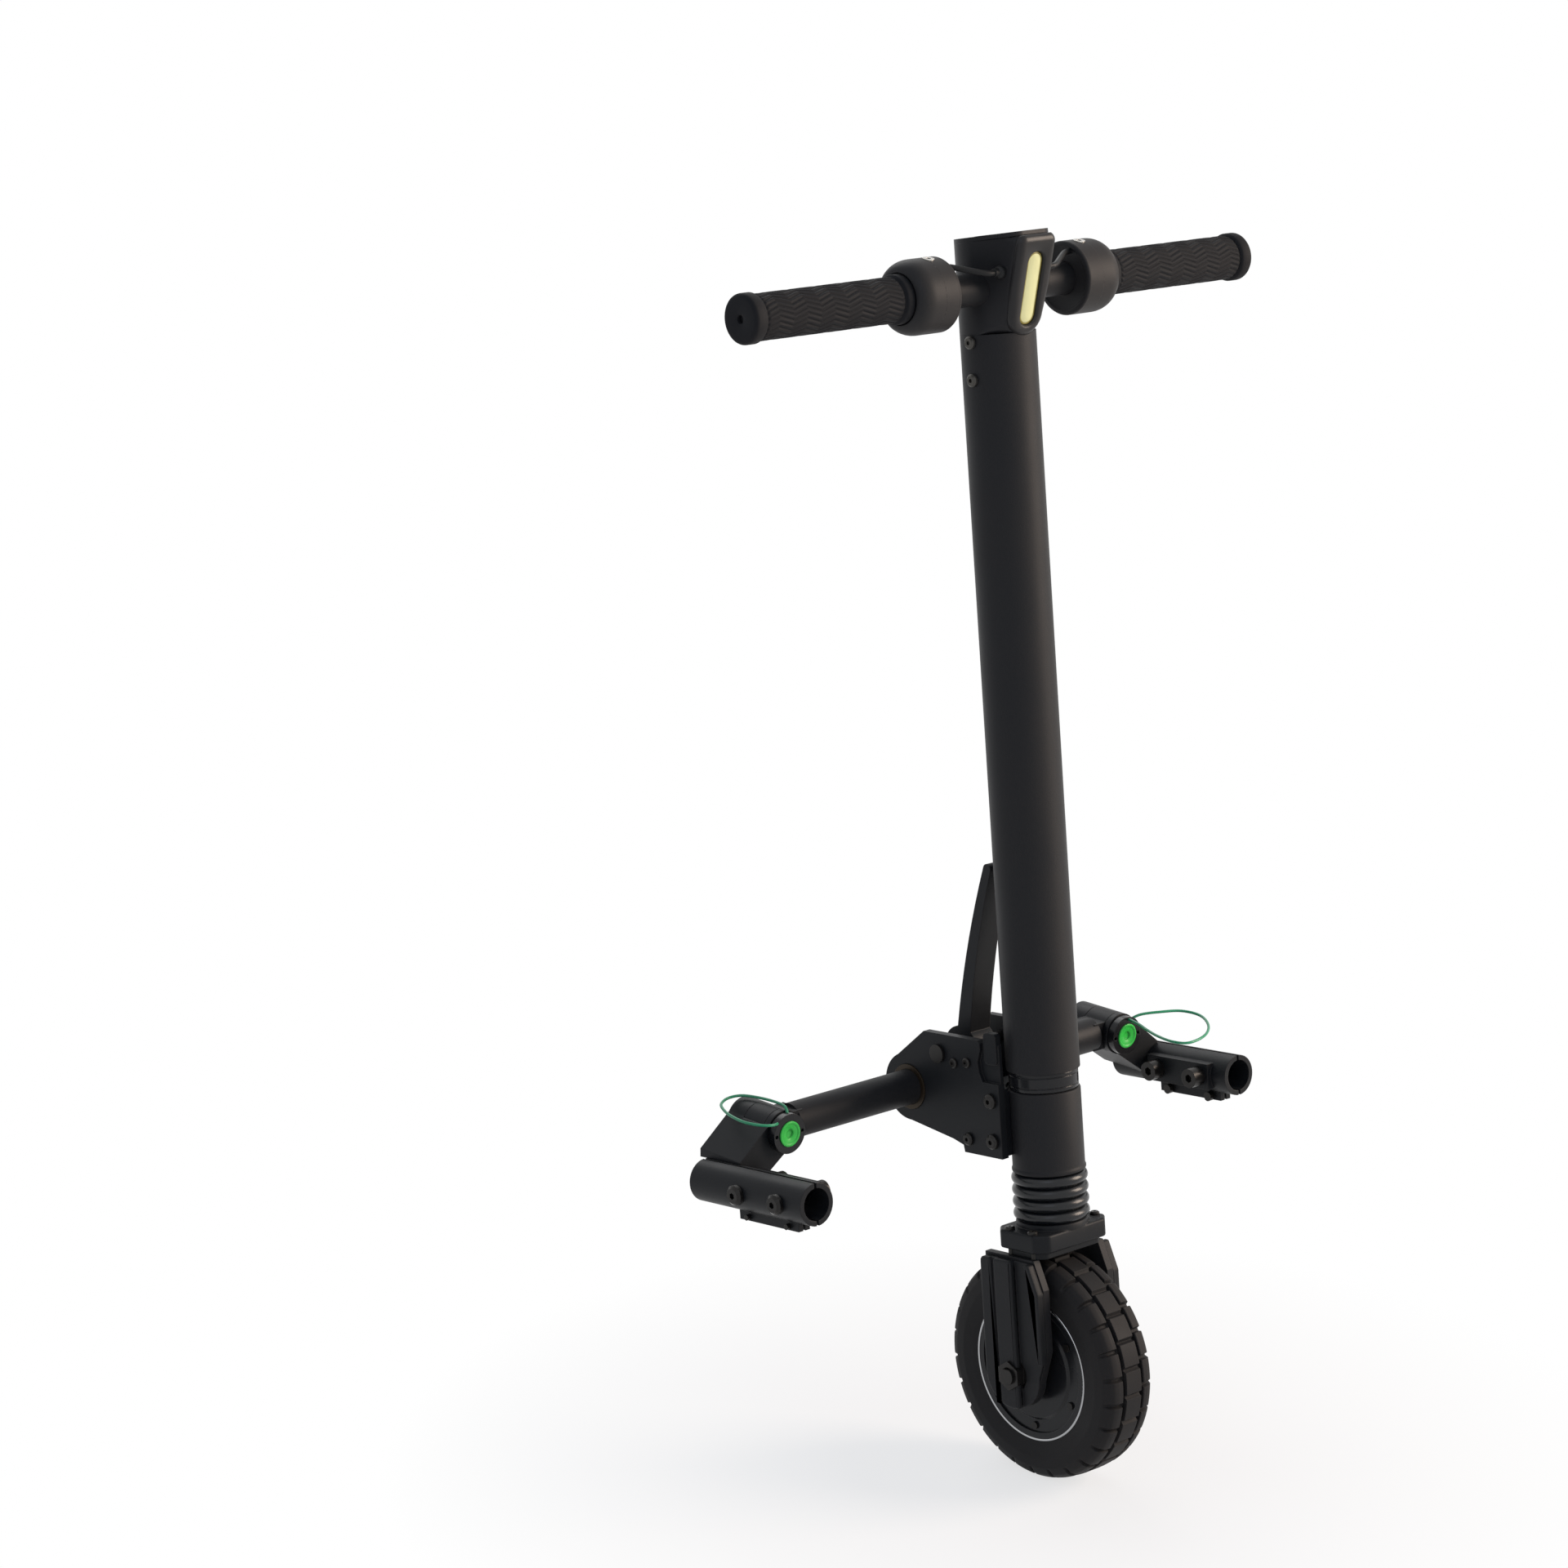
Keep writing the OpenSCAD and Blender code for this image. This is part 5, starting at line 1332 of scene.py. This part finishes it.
    @staticmethod
    def cut(outline: Array, low: float, high: float) -> Array:
        """Outline limited in its first coordinate: points beyond are moved onto the limit, doubles dropped.

        Args:
            outline: Closed outline (n, 2).
            low: Lower limit.
            high: Upper limit.

        Returns:
            The limited outline, at equal steps.
        """
        p = np.column_stack([np.clip(outline[:, 0], low, high), outline[:, 1]])
        apart = np.linalg.norm(p - np.roll(p, 1, axis=0), axis=1) > 1e-6
        return resample(fillet(resample(p[apart], count=90), radius=1.0, steps=3), count=260)


@dataclass
class Wheel:
    """Tyre with a block tread, and the machined edge of the hub that shows beside it.

    A pair of values is where an edge of the tread starts and ends, from the tyre's middle or the notch's.
    """

    radius: float = 80.0
    width: float = 45.0
    rim_r: float = 52.0
    hub_w: float = 40.0
    # Sides of the section: places out from the rim and in from the tread, each with its distance in from the
    # full width, the roundings from the rim outwards, and the seat's distance in
    bulge: tuple[Pair, ...] = ((4.0, 1.5), (12.0, 0.0))
    shoulder: tuple[Pair, ...] = ((9.0, 0.6), (4.0, 2.6), (1.6, 5.4), (0.6, 9.0))
    side_rounds: tuple[float, ...] = (0.0, 4.0, 6.0, 6.0, 4.0, 4.0, 0.0)
    seat_in: float = 6.0
    # Tread: number of blocks, depth, crown, how far its flat stops short of the sides, where it fades out
    blocks: int = 26
    depth: float = 3.5
    crown: float = 0.6
    crown_edge: Pair = (6.0, 13.0)
    flat_in: float = 9.6
    fade: Pair = (9.0, 5.0)
    # Grooves along the tyre, notches in the middle rib and in the shoulders, with their share of the depth
    groove_at: float = 8.6
    groove_edge: Pair = (0.9, 1.5)
    rib_notch: Pair = (0.8, 1.3)
    rib_edge: Pair = (7.2, 7.8)
    rib_share: float = 0.7
    shoulder_notch: Pair = (1.3, 1.9)
    shoulder_edge: Pair = (8.4, 9.2)
    shoulder_share: float = 0.85
    # How far each shoulder's notches lie from the rib's, in blocks
    stagger: float = 0.25
    # Hub's bright edge: profile of radius and place out from the hub's side
    bright_edge: tuple[Pair, ...] = ((50.4, -0.6), (50.4, 0.15), (50.8, 0.4), (51.6, 0.4), (51.9, 0.1),
                                     (51.9, -0.6), (50.4, -0.6))

    def build(self) -> None:
        """Make the tyre and the bright edge."""
        make_piece("block_tyre", self.tyre(), "wheel", Surface.TYRE_RUBBER, ["tyre"],
                   sharp_deg=45.0)
        edge = turned(np.array(self.bright_edge), segments=128).axes("cab")
        ring = edge.moved((self.hub_w / 2, STEER.setback, 0.0))
        make_piece("machined_edge", ring + ring.mirrored(), "wheel", Surface.MACHINED_ALLOY)

    def section(self) -> Array:
        """Tyre's section: rounded sides, a crowned tread between them and a straight seat on the rim.

        Returns:
            Closed profile (n, 2) of radius and place across.
        """
        half, r, rim, steps = self.width / 2, self.radius, self.rim_r, 5
        corners = [(rim, self.hub_w / 2), *((rim + out, half - inset) for out, inset in self.bulge),
                   *((r - down, half - inset) for down, inset in self.shoulder)]
        side = fillet(corners, self.side_rounds, steps, closed=False)[steps - 1:1 - steps]
        across = np.linspace(half - self.flat_in, self.flat_in - half, 45)
        flat = np.column_stack([r - self.crown * smoothstep(*self.crown_edge, np.abs(across)), across])
        seat = np.array([[rim, self.seat_in - half], [rim, half - self.seat_in]])
        return np.vstack([side, flat, (side * [1, -1])[::-1], seat])

    def tyre(self) -> Shell:
        """Tyre: a section carried round the axle, whose tread is lowered in grooves and notches.

        The tread falls by its depth where a place lies in a groove along the tyre, or, on the shoulders and
        on the middle rib in turn, in a notch across it; every edge is eased over a fraction of a millimetre.

        Returns:
            The tyre, in the steering frame.
        """
        rad, wide = self.section().T[:, None, :]
        angle = np.linspace(0.0, 2 * np.pi, self.blocks * 20, endpoint=False)[:, None]
        turn, away = angle * self.blocks / (2 * np.pi), np.abs(wide)
        groove = 1 - smoothstep(*self.groove_edge, np.abs(away - self.groove_at))
        rib = (1 - smoothstep(*self.rib_notch, self.to_notch(turn))) * (1 - smoothstep(*self.rib_edge, away))
        staggered = self.to_notch(turn + self.stagger * np.sign(wide))
        shoulder = (1 - smoothstep(*self.shoulder_notch, staggered)) * smoothstep(*self.shoulder_edge, away)
        lowered = np.maximum(np.maximum(groove, self.rib_share * rib), self.shoulder_share * shoulder)
        tread = smoothstep(self.radius - self.fade[0], self.radius - self.fade[1], rad)
        r = rad - self.depth * lowered * tread
        across, back = np.broadcast_to(wide, r.shape), STEER.setback + r * np.cos(angle)
        return skin(np.stack([across, back, r * np.sin(angle)], axis=-1), close=True)

    def to_notch(self, turn: Array) -> Array:
        """Distance along the tread to the nearest notch, from the turn counted in blocks."""
        return np.abs(np.mod(turn, 1.0) - 0.5) * 2 * np.pi * self.radius / self.blocks


@dataclass
class ReleasePins:
    """Pull loops and push buttons of the two quick-release pins."""

    pin_x: float = 164.0
    # Face of a pin's head, forward of the crossbar's axis
    face_y: float = -20.3
    # Push button: profile of radius and place behind the face
    button: tuple[Pair, ...] = (
        (0.0, 1.6), (9.0, 1.6), (9.0, -0.5), (8.8, -0.8), (8.4, -1.0), (7.6, -1.0), (7.2, -0.8), (6.8, -0.4),
        (3.6, -0.1), (3.2, 0.2), (2.8, 1.1), (1.6, 1.3), (0.0, 1.3))
    loop_d: float = 2.0
    right_loop: tuple[Point, ...] = (
        (-163, 64, 273), (-162, 67, 277), (-161, 73, 278.5), (-162, 89, 278.5), (-167, 105, 278),
        (-176, 110, 277), (-186, 106, 276), (-191, 98, 275), (-194, 87, 274), (-194, 73, 273),
        (-188, 63, 272), (-180, 60, 271), (-172, 63, 270))
    left_loop: tuple[Point, ...] = (
        (170, 63, 272), (176, 59, 275), (188, 52, 276), (202, 43, 276), (206, 28, 275), (195, 10, 274),
        (178, -2, 273), (160, -4, 272), (153, 5, 272), (154, 20, 272), (159, 36, 272), (164, 50, 272.5),
        (166, 63, 273))

    def build(self) -> None:
        """Make the pull loop and the push button of each pin."""
        for side, route in ((Side.RIGHT, self.right_loop), (Side.LEFT, self.left_loop)):
            self.pull_loop(side, route)
            self.push_button(side)

    def pull_loop(self, side: Side, route: Sequence[Point]) -> None:
        """One coated wire loop, both ends in its pin's head: a round tube on a smooth curve.

        Args:
            side: The pin's side.
            route: Points of the route.
        """
        path = spline(route, steps=6)
        obj = make_piece(f"{side.word}_wire_loop", sweep(path, self.loop_d / 2, sides=12), f"{side.word}_pin",
                         Surface.GREEN_WIRE, [f"{side.word}_pull_loop"], PART)

    def push_button(self, side: Side) -> None:
        """Push button of one pin, turned about it: an eased rim, a face dished to the middle, and a dimple.

        Args:
            side: The pin's side.
        """
        centre = (side.value * self.pin_x, self.face_y, 0.0)
        disc = turned(np.array(self.button), segments=72).axes("acb").moved(centre)
        make_piece(f"{side.word}_push_button", disc, f"{side.word}_pin_button",
                   Surface.GREEN_ACETAL, [f"{side.word}_pin_button"], DOCK)


# The solids that keep their own shape, by their finish
SOLIDS: dict[Surface, tuple[str, ...]] = {
    Surface.POWDER_COAT: ("column_tube", "handlebar", "fork_legs", "crossbar"),
    Surface.BRACKET_COAT: ("side_plates", "bracket_blocks", "lock_lever", "adapter_lugs", "inner_jaws",
                           "outer_jaws"),
    Surface.SATIN_ANODISED: ("hub_shell", "hub_covers", "column_base", "bar_stem", "right_pin", "left_pin"),
    Surface.MOULDED_ABS: ("dash_lid", "throttle_paddle", "brake_paddle"),
    Surface.ZINC_STEEL: ("control_screws",),
    Surface.BLACK_OXIDE: ("bracket_screws", "fork_bolts", "axle_nuts", "lever_pin", "axle",
                          "hub_cover_screws", "clamp_bolts"),
    Surface.DULL_STEEL: ("column_screws",),
    Surface.TURNED_STEEL: ("rotor_magnets", "hub_bearings", "axle_spacers", "slider_tube", "steerer_tube",
                           "steering_bearings"),
    Surface.VARNISHED_COPPER: ("stator_windings",),
    Surface.STATOR_STEEL: ("stator",),
    Surface.BUSH_BRONZE: ("pivot_bushes",),
    Surface.CELL_SLEEVE: ("battery_cells",),
    Surface.NATURAL_NYLON: ("battery_spacers",),
    Surface.BOARD_LACQUER: ("controller_board", "lamp_board"),
    Surface.GREY_ABS: ("power_button",),
    Surface.SMOKED_WINDOW: ("dash_window",),
}


def dress_solids(nodes: dict[str, bpy.types.Object]) -> None:
    """Dress the solids that keep their own shape.

    Args:
        nodes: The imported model's objects by name.
    """
    for surface, names in SOLIDS.items():
        for name in names:
            dress(nodes[name], surface)
            LOG.info("%s in %s", name, surface.name.lower())


# Studio


@dataclass(frozen=True)
class Lamp:
    """A soft rectangular lamp: its place, width and height in metres, its power in watts and its colour."""

    name: str
    place: Point
    size: Pair
    power: float
    colour: str


@dataclass(frozen=True)
class Studio:
    """Pale floor and surround, soft lamps, camera at the photograph's viewing angle; lengths in metres."""

    camera_at: Point = (-2.0312, -2.0196, 1.2194)
    target: Point = (-0.0235, 0.22375, 0.45)
    lens_mm: float = 100.13
    sensor_mm: float = 36.0
    lamps: tuple[Lamp, ...] = (
        Lamp("key_lamp", (2.4, -2.0, 1.6), (1.6, 2.0), 125.0, "#ffead8"),
        Lamp("fill_lamp", (-2.2, -1.4, 2.6), (1.6, 1.6), 8.0, "#dde8ff"),
        Lamp("back_lamp", (0.8, 2.2, 2.4), (1.8, 1.4), 18.0, "#ffffff"))
    lamps_at: Point = (0.0, 0.0, 0.4)
    white: str = "#ffffff"
    floor_colour: str = "#fbfbfa"
    floor_half: float = 6.0
    # Distance from the unit's middle, and the floor's share of white there: at the shadow and past it
    shaded: Pair = (0.12, 0.7)
    unshaded: Pair = (0.45, 1.0)
    sky_colour: str = "#dbe6ff"
    sky_strength: float = 0.3

    def build(self) -> None:
        """Make the floor, the light and the camera, and set the colour management."""
        scene = bpy.context.scene
        scene.view_settings.view_transform = "Standard"
        self.floor()
        self.world()
        for lamp in self.lamps:
            self.light(lamp)
        data = bpy.data.cameras.new("photo_camera")
        data.lens = self.lens_mm
        data.sensor_width = self.sensor_mm
        scene.camera = put("photo_camera", data)
        self.aim(scene.camera, self.camera_at, self.target)

    @staticmethod
    def aim(obj: bpy.types.Object, place: Point, target: Point) -> None:
        """Put an object at a place and turn its -Z axis towards a target, with +Y up."""
        obj.location = place
        obj.rotation_euler = (Vector(target) - Vector(place)).to_track_quat("-Z", "Y").to_euler()

    def light(self, lamp: Lamp) -> None:
        """Set up one lamp, aimed at the middle of the unit.

        Args:
            lamp: The lamp.
        """
        data = bpy.data.lights.new(lamp.name, "AREA")
        data.shape = "RECTANGLE"
        data.size, data.size_y = lamp.size
        data.energy = lamp.power
        data.color = linear(lamp.colour)[:3]
        self.aim(put(lamp.name, data), lamp.place, self.lamps_at)

    def floor(self) -> None:
        """Pale floor with a faint shadow of the unit; away from it, seen rays find it white."""
        mesh = bpy.data.meshes.new("studio_floor")
        corners = np.array([[-1, -1, 0], [1, -1, 0], [1, 1, 0], [-1, 1, 0]], float) * self.floor_half
        mesh.from_pydata(corners.tolist(), [], [(0, 1, 2, 3)])
        floor = put("studio_floor", mesh)
        mat = bpy.data.materials.new("pale_floor")
        tree = bare_tree(mat)
        place = add(tree, "TexCoord").outputs["Object"]
        away = add(tree, "VectorMath", {0: place}, operation="LENGTH").outputs["Value"]
        far = add(tree, "MapRange", {"Value": away, "From Min": self.shaded[0], "From Max": self.unshaded[0],
                                     "To Min": self.shaded[1], "To Max": self.unshaded[1]}).outputs[0]
        share = add(tree, "Math", {0: self.seen(tree), 1: far}, operation="MULTIPLY").outputs[0]
        paint = add(tree, "BsdfDiffuse", {"Color": linear(self.floor_colour)}).outputs[0]
        glow = add(tree, "Emission", {"Color": linear(self.white), "Strength": 1.0}).outputs[0]
        both = add(tree, "MixShader", {0: share, 1: paint, 2: glow})
        add(tree, "OutputMaterial", {"Surface": both.outputs[0]})
        mesh.materials.append(mat)

    @staticmethod
    def seen(tree: bpy.types.NodeTree) -> bpy.types.NodeSocket:
        """Tell rays that show a surface from those that carry light.

        Args:
            tree: The node tree.

        Returns:
            Socket that is 1 for camera, glossy and transmitted rays, and 0 for others.
        """
        ray = add(tree, "LightPath").outputs
        first = add(tree, "Math", {0: ray["Is Camera Ray"], 1: ray["Is Glossy Ray"]}, operation="MAXIMUM")
        both = add(tree, "Math", {0: first.outputs[0], 1: ray["Is Transmission Ray"]}, operation="MAXIMUM")
        return both.outputs[0]

    def world(self) -> None:
        """Even pale surround; camera, glossy and transmitted rays see it white."""
        world = bpy.data.worlds.new("studio_surround")
        bpy.context.scene.world = world
        tree = bare_tree(world)
        dim = add(tree, "Background", {"Color": linear(self.sky_colour), "Strength": self.sky_strength})
        bright = add(tree, "Background", {"Color": linear(self.white), "Strength": 1.0})
        both = add(tree, "MixShader", {0: self.seen(tree), 1: dim.outputs[0], 2: bright.outputs[0]})
        add(tree, "OutputWorld", {"Surface": both.outputs[0]})


def main() -> None:
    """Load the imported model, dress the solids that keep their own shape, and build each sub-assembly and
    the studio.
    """
    logging.basicConfig(level=logging.INFO, format="%(name)s: %(message)s")
    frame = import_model()
    dress_solids(frame["nodes"])
    for part in (ReleasePins(), Controls(), Head(), Column(), Fork(), Wheel(), Studio()):
        part.build()


if __name__ == "__main__":
    main()
